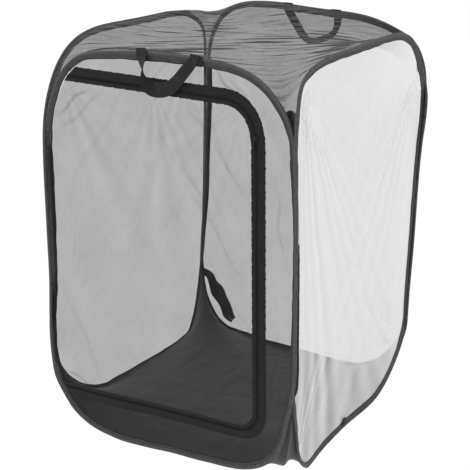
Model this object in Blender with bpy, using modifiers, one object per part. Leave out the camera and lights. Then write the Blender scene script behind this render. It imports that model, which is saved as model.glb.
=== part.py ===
"""A collapsible mesh insect cage: four hooped walls, a roof, a floor, a zipped door and two carrying loops.

The walls are flat panels, each stretched in its own spring steel hoop. They meet at four upright
corners and fold flat like a box with its corners hinged. The cage stands on z = 0, centred on the
origin, with its door towards -Y. Sizes are in metres.
"""

import math

import bmesh
import bpy
import numpy as np
from mathutils import Matrix, Vector

# Driving sizes
WIDTH = 0.600                 # between the middles of the left and right walls
DEPTH = 0.600                 # between the middles of the front and back walls
HEIGHT = 0.870                # top of a hoop, where its top run starts to bow
CLEARANCE = 0.0003            # between pieces that are sewn or slipped together

# Spring steel hoops and the crimped sleeves that close them
WIRE_RADIUS = 0.0015
FERRULE_WALL = 0.0006
FERRULE_LENGTH = 0.034
WIRE_END_GAP = 0.002          # between the two ends of a wire, inside its sleeve
FERRULE_TURN_STEPS = 12

# Binding tape, folded over the wire and the wall's edge
TAPE_WALL = 0.0008
BINDING_WIDTH = 0.017
WALL_THICKNESS = 0.0005
WALL_TUCK = 0.008             # how far a wall reaches into its binding

# Corners: the room that lets the walls fold onto each other
FOLD_GAP = 0.0005
CORNER_TAPE_THICKNESS = 0.0008
CORNER_TAPE_STEPS = 5

# Roof and floor cloth
CLOTH_THICKNESS = 0.0008
ROOF_SEAT = 0.003             # the roof's hem below the top of the hoops
FLOOR_SEAT = 0.0015           # the floor's hem above the foot of the hoops
ROOF_SAG = 0.0086             # load on the whole net of the roof, as the height a knot loses
FLOOR_SAG = 0.043
CLOTH_CELLS = 20
FULLNESS_REACH = 0.09         # where the full corner of a cloth is fullest, as a share of its side

# Door and zipper. The tooth line runs along the top, down the free side and back along the foot
DOOR_TOP_DROP = 0.082         # tooth line below the top of the hoops
DOOR_FOOT_RISE = 0.090        # tooth line above the ground, halfway along its foot
DOOR_SIDE_INSET = 0.077       # tooth line from the middle of the right wall, halfway up
DOOR_SIDE_LEAN = 0.024        # tooth line's top leans in towards the door by this
DOOR_FOOT_LEAN = 0.034        # tooth line's foot rises by this from the hinge to the free side
FRONT_TAPE_WIDTH = 0.020
DOOR_TAPE_WIDTH = 0.011
ZIP_TAPE_THICKNESS = 0.0008
ZIP_TAPE_LAP = 0.011          # how far the front tape lies over the front mesh
DOOR_TAPE_LAP = 0.005
TOOTH_DEPTH = 0.0022
TOOTH_WIDTH = 0.0025
TOOTH_ROW_GAP = 0.0004        # between the two rows of teeth
HINGE_GAP = 0.0005
HINGE_STAND_OFF = 0.0045      # door hinge line in front of the middle of the front wall
STOP_LENGTH = 0.004

# Slider and its pull
SLIDER_WIDTH = 0.008
SLIDER_HEIGHT = 0.011
SLIDER_PLATE = 0.0012
LUG_HEIGHT = 0.0032
LUG_REACH = 0.0034
LUG_SLOT = 0.0046
PULL_BAR_RADIUS = 0.0006
PULL_WIDTH = 0.0040
PULL_LENGTH = 0.024
PULL_THICKNESS = 0.0010
PULL_BEVEL = 0.0003
SLIDER_DROP = 0.068           # middle of the slider below the top run of teeth

# Carrying loops and the tabs that hold them on the hoops
WEBBING_WIDTH = 0.024
WEBBING_THICKNESS = 0.0016
TAB_THICKNESS = 0.0010
LOOP_SPACING = 0.128          # between the middles of a loop's two ends
LOOP_DROP = 0.0615            # from a loop's hinge line to the middle of its lowest run
FRONT_LOOP_SHIFT = 0.019      # middle of the front loop, right of the middle of the wall
BACK_LOOP_SHIFT = 0.004
LOOP_STEPS = 18

# Stowing strap outside the back left corner, and the small elastic tab at the foot of the right wall
STRAP_THICKNESS = 0.0028      # webbing folded double
STRAP_TOP = 0.163
STRAP_FOOT = 0.023
STRAP_REACH = 0.109
ELASTIC_WIDTH = 0.013
ELASTIC_HEIGHT = 0.018
ELASTIC_THICKNESS = 0.0016
ELASTIC_FOOT = 0.003

# Corners of each hoop: top start, top end, foot end, foot start, seen with u to the right. Each is
# its share of the wall's width, then its share of the height
FRONT_CORNER_SHARES = ((0.467, 0.278), (0.400, 0.275), (0.270, 0.150), (0.242, 0.132))
BACK_CORNER_SHARES = ((0.227, 0.291), (0.430, 0.140), (0.215, 0.182), (0.167, 0.164))
LEFT_CORNER_SHARES = ((0.475, 0.253), (0.363, 0.093), (0.130, 0.239), (0.257, 0.184))
RIGHT_CORNER_SHARES = ((0.302, 0.081), (0.388, 0.233), (0.480, 0.198), (0.197, 0.350))
TOP_ROUNDNESS = 2.6           # power of the corner's curve: 2 is an ellipse, more is squarer
FOOT_ROUNDNESS = 1.85
FRONT_FOOT_ROUNDNESS = 2.1
TOP_BOWS = {"front": -0.010, "back": 0.010, "left": -0.006, "right": 0.0}
DOOR_TOP_CORNER_SHARES = (0.150, 0.130)
DOOR_FOOT_CORNER_SHARES = (0.110, 0.090)
DOOR_ROUNDNESS = 2.4
# Corners that are pushed up or let down: the back left and front left of the roof, the front right of the floor
ROOF_FULLNESS = (((0, 1), (0.0, 0.0, 0.090)), ((0, 0), (0.0, 0.0, 0.055)))
FLOOR_FULLNESS = (((1, 0), (0.0, 0.0, -0.060)),)
LOOP_SHAPE_SHARES = ((0.50, 0.0), (0.47, 0.30), (0.38, 0.62), (0.22, 0.90), (0.0, 1.0))
STRAP_EDGE_SHARES = ((0.0, 0.0), (0.13, 0.02), (0.28, 0.06), (0.40, 0.19), (0.61, 0.30), (0.71, 0.44), (0.83, 0.61),
                     (0.95, 0.82), (1.0, 0.86), (0.91, 1.0), (0.70, 0.95), (0.60, 0.78), (0.54, 0.69),
                     (0.35, 0.55), (0.25, 0.35), (0.17, 0.21), (0.10, 0.16), (0.0, 0.15))
STRAP_SLIT_SHARES = ((0.43, 0.42), (0.52, 0.41), (0.66, 0.66), (0.58, 0.68))
NECK_SHARE = 2.3              # where the binding closes onto the wall, in binding radii
SIDE_STEPS = 3
TOP_STEPS = 4
CORNER_STEPS = 9

FERRULE_BORE = WIRE_RADIUS + CLEARANCE
FERRULE_RADIUS = FERRULE_BORE + FERRULE_WALL
POCKET_RADIUS = FERRULE_RADIUS + CLEARANCE
BINDING_RADIUS = POCKET_RADIUS + TAPE_WALL
HEM_INNER = WALL_THICKNESS / 2 + CLEARANCE
HEM_OUTER = HEM_INNER + TAPE_WALL
FOLD_OFFSET = BINDING_RADIUS + FOLD_GAP          # a fold's axis from the middles of its two walls
WALL_END = FOLD_OFFSET + FOLD_GAP                # a wall's end from the middle of the next wall
FRONT_Y = -DEPTH / 2
BACK_Y = DEPTH / 2
LEFT_X = -WIDTH / 2
RIGHT_X = WIDTH / 2
ZIP_Y = FRONT_Y - WALL_THICKNESS / 2 - CLEARANCE - ZIP_TAPE_THICKNESS / 2
HINGE_X = LEFT_X + WALL_END + BINDING_WIDTH + HINGE_GAP
TOOTH_X = RIGHT_X - DOOR_SIDE_INSET
TOOTH_TOP = HEIGHT - DOOR_TOP_DROP
TOOTH_FOOT = DOOR_FOOT_RISE
LOOP_STAND_OFF = BINDING_RADIUS + CLEARANCE + TAB_THICKNESS + CLEARANCE + WEBBING_THICKNESS / 2

UPRIGHT_FRONT = (math.radians(90), 0.0, 0.0)                 # outline's x and y become +X and +Z
UPRIGHT_SIDE = (math.radians(90), 0.0, math.radians(90))     # outline's x and y become +Y and +Z


def clear_scene():
    for obj in list(bpy.data.objects):
        bpy.data.objects.remove(obj, do_unlink=True)


def collection(name):
    group = bpy.data.collections.new(name)
    bpy.context.scene.collection.children.link(group)
    return group


def principled(name, colour, roughness, metallic=0.0, alpha=1.0):
    mat = bpy.data.materials.new(name)
    mat.use_nodes = True
    shader = mat.node_tree.nodes["Principled BSDF"]
    shader.inputs["Base Color"].default_value = (*colour, 1.0)
    shader.inputs["Roughness"].default_value = roughness
    shader.inputs["Metallic"].default_value = metallic
    shader.inputs["Alpha"].default_value = alpha
    return mat


def place(obj, group, mat, parent=None):
    """Links an object, gives it its material and hangs it on its joint's empty, where it stands."""
    if obj.name not in group.objects:
        group.objects.link(obj)
    obj.data.materials.clear()
    obj.data.materials.append(mat)
    if parent is not None:
        obj.parent = parent
        obj.matrix_parent_inverse = Matrix.Translation(-Vector(parent["at"]))
    return obj


def axis_empty(name, at, group, parent=None):
    empty = bpy.data.objects.new(name, None)
    group.objects.link(empty)
    empty["at"] = at
    empty.location = at
    if parent is not None:
        empty.parent = parent
        empty.matrix_parent_inverse = Matrix.Translation(-Vector(parent["at"]))
    return empty


def flat_curve(name, outlines, thickness, location, rotation):
    """A flat outline with its holes, given a thickness half on each side of its own plane."""
    data = bpy.data.curves.new(name, "CURVE")
    data.dimensions = "2D"
    data.fill_mode = "BOTH"
    data.extrude = thickness / 2
    for outline in outlines:
        spline = data.splines.new("POLY")
        spline.points.add(len(outline) - 1)
        spline.points.foreach_set("co", [v for x, y in outline for v in (x, y, 0.0, 1.0)])
        spline.use_cyclic_u = True
    obj = bpy.data.objects.new(name, data)
    obj.location = location
    obj.rotation_euler = rotation
    return obj


def as_mesh(obj, group):
    """The evaluated solid of a curve as a mesh object in the curve's place, with its caps welded."""
    group.objects.link(obj)
    bpy.context.view_layer.update()
    graph = bpy.context.evaluated_depsgraph_get()
    mesh = bpy.data.meshes.new_from_object(obj.evaluated_get(graph))
    name, matrix = obj.name, obj.matrix_world.copy()
    bpy.data.objects.remove(obj, do_unlink=True)
    work = bmesh.new()
    work.from_mesh(mesh)
    bmesh.ops.remove_doubles(work, verts=work.verts, dist=CLEARANCE / 100)
    bmesh.ops.recalc_face_normals(work, faces=work.faces)
    work.to_mesh(mesh)
    work.free()
    made = bpy.data.objects.new(name, mesh)
    made.matrix_world = matrix
    return made


def union(obj, others, group):
    """Joins solids to obj with applied EXACT unions."""
    group.objects.link(obj)
    for other in others:
        group.objects.link(other)
        step = obj.modifiers.new("join", "BOOLEAN")
        step.operation = "UNION"
        step.object = other
    return apply_modifiers(obj, others, group)


def apply_modifiers(obj, helpers, group):
    bpy.context.view_layer.update()
    graph = bpy.context.evaluated_depsgraph_get()
    mesh = bpy.data.meshes.new_from_object(obj.evaluated_get(graph))
    obj.modifiers.clear()
    obj.data = mesh
    for helper in helpers:
        bpy.data.objects.remove(helper, do_unlink=True)
    group.objects.unlink(obj)
    return obj


def box(name, low, high):
    """A box between two corners, its size in its mesh."""
    low, high = Vector(low), Vector(high)
    work = bmesh.new()
    bmesh.ops.create_cube(work, size=1.0)
    bmesh.ops.scale(work, vec=high - low, verts=work.verts)
    mesh = bpy.data.meshes.new(name)
    work.to_mesh(mesh)
    work.free()
    obj = bpy.data.objects.new(name, mesh)
    obj.location = (low + high) / 2
    return obj


def corner_curve(across, up, power):
    """A quarter of a superellipse, from its upright end to its level end, as shares of its reach."""
    turn = np.linspace(0.0, math.pi / 2, CORNER_STEPS + 1)
    return across * np.cos(turn) ** (2 / power), up * np.sin(turn) ** (2 / power)


def hoop_outline(side, half, inset=0.0):
    """Closed outline of a hoop's outer edge moved in by inset, from the foot of its far side, going up."""
    shares = WALLS[side]["corners"]
    foot = WALLS[side]["foot_roundness"]
    reach = [(a * 2 * half, u * HEIGHT) for a, u in shares]
    (t0a, t0u), (t1a, t1u), (f1a, f1u), (f0a, f0u) = reach
    points = []
    x, z = corner_curve(f1a, f1u, foot)
    points += [(half - f1a + a, f1u - b) for a, b in zip(x[::-1], z[::-1])]
    rise = np.linspace(f1u, HEIGHT - t1u, SIDE_STEPS + 1)[1:-1]
    points += [(half, b) for b in rise]
    x, z = corner_curve(t1a, t1u, TOP_ROUNDNESS)
    points += [(half - t1a + a, HEIGHT - t1u + b) for a, b in zip(x, z)]
    run = np.linspace(half - t1a, t0a - half, TOP_STEPS + 1)[1:-1]
    points += [(a, HEIGHT) for a in run]
    x, z = corner_curve(t0a, t0u, TOP_ROUNDNESS)
    points += [(t0a - half - a, HEIGHT - t0u + b) for a, b in zip(x[::-1], z[::-1])]
    fall = np.linspace(HEIGHT - t0u, f0u, SIDE_STEPS + 1)[1:-1]
    points += [(-half, b) for b in fall]
    x, z = corner_curve(f0a, f0u, foot)
    points += [(f0a - half - a, f0u - b) for a, b in zip(x, z)]
    run = np.linspace(f0a - half, half - f1a, TOP_STEPS + 1)[1:-1]
    points += [(a, 0.0) for a in run]
    line = np.array(points)
    arch = 1 - (line[:, 0] / half) ** 2
    lift = np.clip(2 * line[:, 1] / HEIGHT - 1, 0, None)
    line[:, 1] += TOP_BOWS[side] * arch * lift
    return moved_in(line, inset)


def moved_in(line, inset):
    """A closed outline that runs anticlockwise, with every point moved in along its normal."""
    along = np.roll(line, -1, axis=0) - np.roll(line, 1, axis=0)
    along /= np.linalg.norm(along, axis=1)[:, None]
    return line + inset * np.column_stack((-along[:, 1], along[:, 0]))


def height_on_hoop(side, upper):
    """Function giving the height of a hoop's outer edge over u, along its top or along its foot."""
    wall = WALLS[side]
    line = hoop_outline(side, wall["half"])
    (_, t0), (_, t1), (_, f1), (_, f0) = wall["corners"]
    far = line[:, 0] > 0
    if upper:
        kept = line[line[:, 1] > HEIGHT * (1 - np.where(far, t1, t0)) - CLEARANCE]
    else:
        kept = line[line[:, 1] < HEIGHT * np.where(far, f1, f0) + CLEARANCE]
    order = np.argsort(kept[:, 0])
    return lambda u: np.interp(u, kept[order, 0], kept[order, 1])


def front_edge_x(z, inset):
    """Where the front hoop's line, moved in by inset, stands on the left side at a height."""
    line = hoop_outline("front", WALLS["front"]["half"], inset)
    left = line[line[:, 0] < 0]
    order = np.argsort(left[:, 1])
    return float(np.interp(z, left[order, 1], left[order, 0]))


def leaned(x, z):
    """Leans a point of the upright door outline with the door's free side and foot."""
    width, height = TOOTH_X - HINGE_X, TOOTH_TOP - TOOTH_FOOT
    free = min(max((x - HINGE_X) / width, 0.0), 1.0)
    low = min(max((TOOTH_TOP - z) / height, 0.0), 1.0)
    return x + DOOR_SIDE_LEAN * free * (low - 0.5), z + DOOR_FOOT_LEAN * low * (free - 0.5)


def door_line(out, ends_inset):
    """The tooth line moved out from the door by out, its two ends on the front hoop's line at ends_inset."""
    right, top, foot = TOOTH_X + out, TOOTH_TOP + out, TOOTH_FOOT - out
    width, height = TOOTH_X - HINGE_X, TOOTH_TOP - TOOTH_FOOT
    across, up = DOOR_TOP_CORNER_SHARES[0] * width + out, DOOR_TOP_CORNER_SHARES[1] * height + out
    x, z = corner_curve(across, up, DOOR_ROUNDNESS)
    points = [leaned(right - across + a, top - up + b) for a, b in zip(x[::-1], z[::-1])]
    across, up = DOOR_FOOT_CORNER_SHARES[0] * width + out, DOOR_FOOT_CORNER_SHARES[1] * height + out
    x, z = corner_curve(across, up, DOOR_ROUNDNESS)
    points += [leaned(right - across + a, foot + up - b) for a, b in zip(x, z)]
    top, foot = end_heights(out)
    return [(front_edge_x(top, ends_inset), top)] + points + [(front_edge_x(foot, ends_inset), foot)]


def end_heights(out):
    """Heights where the tooth line moved out by out meets the hinge side."""
    return TOOTH_TOP + out, leaned(HINGE_X, TOOTH_FOOT)[1] - out


def zip_band(name, near, far, y, thickness):
    """A flat band between two lines that follow the teeth at their own distances."""
    ends = BINDING_WIDTH + HINGE_GAP
    outline = door_line(far, ends) + door_line(near, ends)[::-1]
    return flat_curve(name, [outline], thickness, (0.0, y, 0.0), UPRIGHT_FRONT)


def binding_profile():
    """Six sides of an octagon over the wire, then a double hem over the wall's edge: a tape open inwards.

    One of the sides faces straight out, so the tape stands flat along the foot of its hoop.
    """
    turn = np.radians(np.arange(67.5, 300, 45))
    corner = math.cos(math.radians(22.5))
    outer_ring = [(BINDING_RADIUS * (1 + math.cos(a) / corner), BINDING_RADIUS / corner * math.sin(a)) for a in turn]
    pocket = POCKET_RADIUS / corner
    inner_ring = [(BINDING_RADIUS + pocket * math.cos(a), pocket * math.sin(a)) for a in turn]
    neck = BINDING_RADIUS * NECK_SHARE
    outer = [(BINDING_WIDTH, HEM_OUTER), (neck, HEM_OUTER), *outer_ring, (neck, -HEM_OUTER), (BINDING_WIDTH, -HEM_OUTER)]
    inner = [(BINDING_WIDTH, HEM_INNER), (neck, HEM_INNER), *inner_ring, (neck, -HEM_INNER), (BINDING_WIDTH, -HEM_INNER)]
    return outer + inner[::-1]


def swept_binding(name, side, location, rotation, group, guides):
    """The binding's section carried round a hoop's outer edge."""
    section = bpy.data.curves.new(name + "_section", "CURVE")
    section.dimensions = "2D"
    spline = section.splines.new("POLY")
    profile = binding_profile()
    spline.points.add(len(profile) - 1)
    spline.points.foreach_set("co", [v for s, n in profile for v in (s, n, 0.0, 1.0)])
    spline.use_cyclic_u = True
    guide = bpy.data.objects.new(name + "_section", section)
    guides.objects.link(guide)
    guide.hide_render = True
    guide.display_type = "WIRE"
    path = bpy.data.curves.new(name, "CURVE")
    path.dimensions = "2D"
    path.fill_mode = "NONE"
    path.bevel_mode = "OBJECT"
    path.bevel_object = guide
    line = hoop_outline(side, WALLS[side]["half"])
    spline = path.splines.new("POLY")
    spline.points.add(len(line) - 1)
    spline.points.foreach_set("co", [v for u, z in line for v in (u, z, 0.0, 1.0)])
    spline.use_cyclic_u = True
    obj = bpy.data.objects.new(name, path)
    obj.location = location
    obj.rotation_euler = rotation
    return as_mesh(obj, group)


def hoop_wire(name, side, location, rotation):
    """The steel wire in its pocket, its two ends nearly meeting in the middle of the foot run."""
    line = hoop_outline(side, WALLS[side]["half"], BINDING_RADIUS)
    foot = WALLS[side]["ferrule_u"]
    ahead = line[(line[:, 1] < BINDING_RADIUS * 1.5) & (line[:, 0] > foot + FERRULE_LENGTH)]
    start = int(np.argmin(np.abs(line[:, 0] - ahead[:, 0].min()) + np.abs(line[:, 1] - BINDING_RADIUS)))
    ring = np.roll(line, -start, axis=0)
    keep = ~((ring[:, 1] < BINDING_RADIUS * 1.5) & (np.abs(ring[:, 0] - foot) < FERRULE_LENGTH))
    ring = ring[keep]
    first = [(foot + WIRE_END_GAP / 2, BINDING_RADIUS)]
    last = [(foot - WIRE_END_GAP / 2, BINDING_RADIUS)]
    points = first + [tuple(p) for p in ring] + last
    data = bpy.data.curves.new(name, "CURVE")
    data.dimensions = "3D"
    data.bevel_depth = WIRE_RADIUS
    data.bevel_resolution = 2
    data.use_fill_caps = True
    spline = data.splines.new("POLY")
    spline.points.add(len(points) - 1)
    spline.points.foreach_set("co", [v for u, z in points for v in (u, z, 0.0, 1.0)])
    obj = bpy.data.objects.new(name, data)
    obj.location = location
    obj.rotation_euler = rotation
    return obj


def ferrule(name, side, location, rotation, group):
    """A crimped sleeve, turned about its own length and laid along the foot of the hoop."""
    half = FERRULE_LENGTH / 2
    profile = [(FERRULE_BORE, -half), (FERRULE_BORE, half), (FERRULE_RADIUS, half), (FERRULE_RADIUS, -half)]
    mesh = bpy.data.meshes.new(name)
    edges = [(i, (i + 1) % len(profile)) for i in range(len(profile))]
    mesh.from_pydata([(r, 0.0, z) for r, z in profile], edges, [])
    obj = bpy.data.objects.new(name, mesh)
    turned = obj.modifiers.new("turned", "SCREW")
    turned.steps = FERRULE_TURN_STEPS
    turned.render_steps = FERRULE_TURN_STEPS
    turned.use_merge_vertices = True
    turned.merge_threshold = CLEARANCE / 10
    turned.use_normal_calculate = True
    group.objects.link(obj)
    obj = apply_modifiers(obj, [], group)
    work = bmesh.new()
    work.from_mesh(obj.data)
    bmesh.ops.recalc_face_normals(work, faces=work.faces)
    work.to_mesh(obj.data)
    work.free()
    turn = Matrix.Rotation(math.radians(90), 4, "Y")
    shift = Matrix.Translation((WALLS[side]["ferrule_u"], BINDING_RADIUS, 0.0))
    obj.data.transform(shift @ turn)
    obj.location = location
    obj.rotation_euler = rotation
    return obj


def wall_sheet(name, side, location, rotation):
    line = hoop_outline(side, WALLS[side]["half"], BINDING_WIDTH - WALL_TUCK)
    return flat_curve(name, [line.tolist()], WALL_THICKNESS, location, rotation)


def front_surround(name):
    """The mesh round the door: inside the binding on three sides, along the teeth on the fourth."""
    inset = BINDING_WIDTH - WALL_TUCK
    out = FRONT_TAPE_WIDTH - ZIP_TAPE_LAP
    line = hoop_outline("front", WALLS["front"]["half"], inset)
    top, foot = end_heights(out)
    left_side = (line[:, 0] < 0) & (line[:, 1] < top) & (line[:, 1] > foot)
    start = int(np.flatnonzero(left_side)[-1]) + 1
    ring = np.roll(line, -start, axis=0)
    ring = ring[: len(ring) - int(left_side.sum())]
    outline = [tuple(p) for p in ring] + door_line(out, inset)
    return flat_curve(name, [outline], WALL_THICKNESS, (0.0, FRONT_Y, 0.0), UPRIGHT_FRONT)


def door_sheet(name):
    """The door's mesh: along the teeth on three sides, along the front hoop's hem on its hinge side."""
    inset = BINDING_WIDTH + HINGE_GAP
    into = DOOR_TAPE_LAP - DOOR_TAPE_WIDTH
    line = hoop_outline("front", WALLS["front"]["half"], inset)
    top, foot = end_heights(into)
    left_side = line[(line[:, 0] < 0) & (line[:, 1] < top) & (line[:, 1] > foot)]
    outline = door_line(into, inset) + [tuple(p) for p in left_side[::-1]]
    return flat_curve(name, [outline], WALL_THICKNESS, (0.0, FRONT_Y, 0.0), UPRIGHT_FRONT)


def full_corner(knots, corner, push):
    """Pushes out one corner of a cloth that was cut too full: nothing on its edges, most a little way in."""
    share = np.linspace(0.0, 1.0, len(knots))
    a = (share if corner[0] == 0 else 1 - share)[:, None]
    b = (share if corner[1] == 0 else 1 - share)[None]
    hump = a * b / FULLNESS_REACH ** 2 * np.exp(2 - (a + b) / FULLNESS_REACH)
    return knots + hump[..., None] * np.array(push)


def cloth_run(side, upper, levels, seat):
    """A hoop's line moved in by seat, over its top or along its foot, between two heights on its uprights.

    The points stand at equal steps of the line, from u low to u high.
    """
    line = hoop_outline(side, WALLS[side]["half"], seat)
    far = line[:, 0] > 0
    level = np.where(far, levels[1], levels[0])
    keep = line[:, 1] > level if upper else line[:, 1] < level
    order = np.flatnonzero(keep)
    split = np.flatnonzero(np.diff(order) > 1)
    if len(split):
        order = np.concatenate((order[split[0] + 1:], order[:split[0] + 1]))
    run = line[order]
    if run[0, 0] > run[-1, 0]:
        run = run[::-1]
    end = WALLS[side]["half"] - seat
    run = np.vstack(((-end, levels[0]), run, (end, levels[1])))
    at = np.concatenate(([0.0], np.cumsum(np.linalg.norm(np.diff(run, axis=0), axis=1))))
    where = np.linspace(0.0, at[-1], CLOTH_CELLS + 1)
    return np.column_stack((np.interp(where, at, run[:, 0]), np.interp(where, at, run[:, 1])))


def upright_level(walls, ends, upper):
    """Height where the roof or the floor leaves the upright stretch that two neighbouring hoops share."""
    reach = [WALLS[side]["corners"][corner][1] * HEIGHT for side, corner in zip(walls, ends)]
    return HEIGHT - max(reach) if upper else max(reach)


def stretched_cloth(name, upper, seat, load, fullness):
    """Roof or floor: a net tied to the four hoops, each inner knot amid its four neighbours, less the load."""
    edge = BINDING_RADIUS + CLEARANCE + CLOTH_THICKNESS / 2
    low, high = (0, 1) if upper else (3, 2)
    level = {(s, e): upright_level((f, s), (l, r), upper) for f, s, e, l, r in
             (("front", "left", 0, low, low), ("front", "right", 0, high, low), ("back", "left", 1, low, high), ("back", "right", 1, high, high))}
    ends = {"left": (level["left", 0], level["left", 1]), "right": (level["right", 0], level["right", 1]),
            "front": (level["left", 0], level["right", 0]), "back": (level["left", 1], level["right", 1])}
    run = {side: cloth_run(side, upper, ends[side], seat) for side in WALLS}
    net = {side: np.column_stack((run[side][:, 0], np.full(CLOTH_CELLS + 1, out), run[side][:, 1]))
           for side, out in (("front", FRONT_Y + edge), ("back", BACK_Y - edge))}
    net.update({side: np.column_stack((np.full(CLOTH_CELLS + 1, out), run[side][:, 0], run[side][:, 1]))
                for side, out in (("left", LEFT_X + edge), ("right", RIGHT_X - edge))})
    for side, i, other, j in (("left", 0, "front", 0), ("left", -1, "back", 0), ("right", 0, "front", -1), ("right", -1, "back", -1)):
        net[side][i] = net[other][j] = (net[side][i] + net[other][j]) / 2
    share = np.linspace(0.0, 1.0, CLOTH_CELLS + 1)
    i, j = share[:, None, None], share[None, :, None]
    front, back, left, right = (net[side] for side in ("front", "back", "left", "right"))
    knots = (front[:, None] * (1 - j) + back[:, None] * j + left[None] * (1 - i) + right[None] * i
             - front[0] * (1 - i) * (1 - j) - front[-1] * i * (1 - j) - back[0] * (1 - i) * j - back[-1] * i * j)
    drop = np.array((0.0, 0.0, load / CLOTH_CELLS ** 2))
    for _ in range(CLOTH_CELLS * CLOTH_CELLS * 2):
        amid = (knots[:-2, 1:-1] + knots[2:, 1:-1] + knots[1:-1, :-2] + knots[1:-1, 2:]) / 4
        knots[1:-1, 1:-1] = amid - drop
        knots[..., 2] = np.maximum(knots[..., 2], seat)
    for corner, push in fullness:
        knots = full_corner(knots, corner, push)
    knots[..., 2] = np.maximum(knots[..., 2], seat)
    work = bmesh.new()
    bmesh.ops.create_grid(work, x_segments=CLOTH_CELLS, y_segments=CLOTH_CELLS, size=1.0)
    for vert in work.verts:
        column = round((vert.co.x + 1) / 2 * CLOTH_CELLS)
        row = round((vert.co.y + 1) / 2 * CLOTH_CELLS)
        vert.co = knots[column, row]
    mesh = bpy.data.meshes.new(name)
    work.to_mesh(mesh)
    work.free()
    obj = bpy.data.objects.new(name, mesh)
    wall = obj.modifiers.new("thickness", "SOLIDIFY")
    wall.thickness = CLOTH_THICKNESS
    wall.offset = 0.0
    mesh.shade_smooth()
    return obj


def corner_tape(name, x, y, z_low, z_high):
    """A cloth strip round an upright corner, from one wall's outer face to the next one's."""
    out_x, out_y = math.copysign(1, x), math.copysign(1, y)
    inner = BINDING_RADIUS + CLEARANCE
    lap = BINDING_WIDTH - WALL_TUCK
    radius = inner + CORNER_TAPE_THICKNESS
    start = -WALL_END - lap
    turn = np.linspace(0.0, math.pi / 2, CORNER_TAPE_STEPS)
    outer = [(start, radius)] + [(radius * math.sin(a), radius * math.cos(a)) for a in turn] + [(radius, start)]
    inside = [(inner, start)] + [(inner * math.sin(a), inner * math.cos(a)) for a in turn[::-1]] + [(start, inner)]
    outline = [(x + out_x * a, y + out_y * b) for a, b in outer + inside]
    middle = (0.0, 0.0, (z_low + z_high) / 2)
    return flat_curve(name, [outline], z_high - z_low, middle, (0.0, 0.0, 0.0))


def smooth_run(shares, reach, depth):
    """Points of an outline in shares, thickened by a cubic through them, in metres."""
    pts = np.array(shares, float)
    at = np.concatenate(([0.0], np.cumsum(np.linalg.norm(np.diff(pts, axis=0), axis=1))))
    at /= at[-1]
    slopes = np.gradient(pts, at, axis=0)
    out = []
    for s in np.linspace(0, 1, LOOP_STEPS):
        k = min(int(np.searchsorted(at, s, side="right")) - 1, len(at) - 2)
        h = at[k + 1] - at[k]
        t = (s - at[k]) / h
        out.append((2 * t ** 3 - 3 * t ** 2 + 1) * pts[k] + (t ** 3 - 2 * t ** 2 + t) * h * slopes[k]
                   + (3 * t ** 2 - 2 * t ** 3) * pts[k + 1] + (t ** 3 - t ** 2) * h * slopes[k + 1])
    return np.array(out) * (reach, -depth)


def carrying_loop(name, x, y, z):
    """Webbing hanging in a U from its two ends, flat against the wall."""
    right = smooth_run(LOOP_SHAPE_SHARES, LOOP_SPACING, LOOP_DROP)
    middle = np.concatenate((right * (-1, 1), right[::-1][1:]))
    along = np.gradient(middle, axis=0)
    along /= np.linalg.norm(along, axis=1)[:, None]
    along[0], along[-1] = (0.0, -1.0), (0.0, 1.0)
    across = np.column_stack((along[:, 1], -along[:, 0])) * WEBBING_WIDTH / 2
    outline = [tuple(p) for p in middle + across] + [tuple(p) for p in (middle - across)[::-1]]
    return flat_curve(name, [outline], WEBBING_THICKNESS, (x, y, z), UPRIGHT_FRONT)


def loop_tab(name, x, top, out):
    """A webbing end stitched over the top of a hoop: down its outer face and flat across its top."""
    near = BINDING_RADIUS + CLEARANCE
    far = near + TAB_THICKNESS
    low = -BINDING_WIDTH
    outline = [(-BINDING_RADIUS, CLEARANCE), (near, CLEARANCE), (near, low), (far, low), (far, CLEARANCE + TAB_THICKNESS),
               (-BINDING_RADIUS, CLEARANCE + TAB_THICKNESS)]
    y = FRONT_Y if out < 0 else BACK_Y
    outline = [(y + out * a, top + b) for a, b in outline]
    return flat_curve(name, [outline], WEBBING_WIDTH, (x, 0.0, 0.0), UPRIGHT_SIDE)


def slider_body(name, x, z, guides, group):
    """Front plate with two lugs that carry the pull's bar: one outline with a hole, then a slot cut."""
    back = ZIP_Y - TOOTH_DEPTH / 2 - CLEARANCE
    face = back - SLIDER_PLATE
    half = SLIDER_HEIGHT / 2
    lug_top = z + half - LUG_HEIGHT / 2
    plate = [(back, z - half), (back, z + half), (face, z + half), (face, lug_top), (face - LUG_REACH, lug_top),
             (face - LUG_REACH, lug_top - LUG_HEIGHT), (face, lug_top - LUG_HEIGHT), (face, z - half)]
    centre_y, centre_z = face - LUG_REACH / 2, lug_top - LUG_HEIGHT / 2
    bore = PULL_BAR_RADIUS + CLEARANCE
    turn = np.linspace(0, 2 * math.pi, FERRULE_TURN_STEPS, endpoint=False)
    hole = [(centre_y + bore * math.cos(a), centre_z + bore * math.sin(a)) for a in turn]
    body = as_mesh(flat_curve(name, [plate, hole], SLIDER_WIDTH, (x, 0.0, 0.0), UPRIGHT_SIDE), group)
    low = (x - LUG_SLOT / 2, face - LUG_REACH * 2, z - half)
    slot = box(name + "_slot", low, (x + LUG_SLOT / 2, face, z + half))
    guides.objects.link(slot)
    slot.hide_render = True
    slot.display_type = "WIRE"
    cut = body.modifiers.new("slot", "BOOLEAN")
    cut.operation = "DIFFERENCE"
    cut.object = slot
    return body, (x, centre_y, centre_z)


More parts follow.
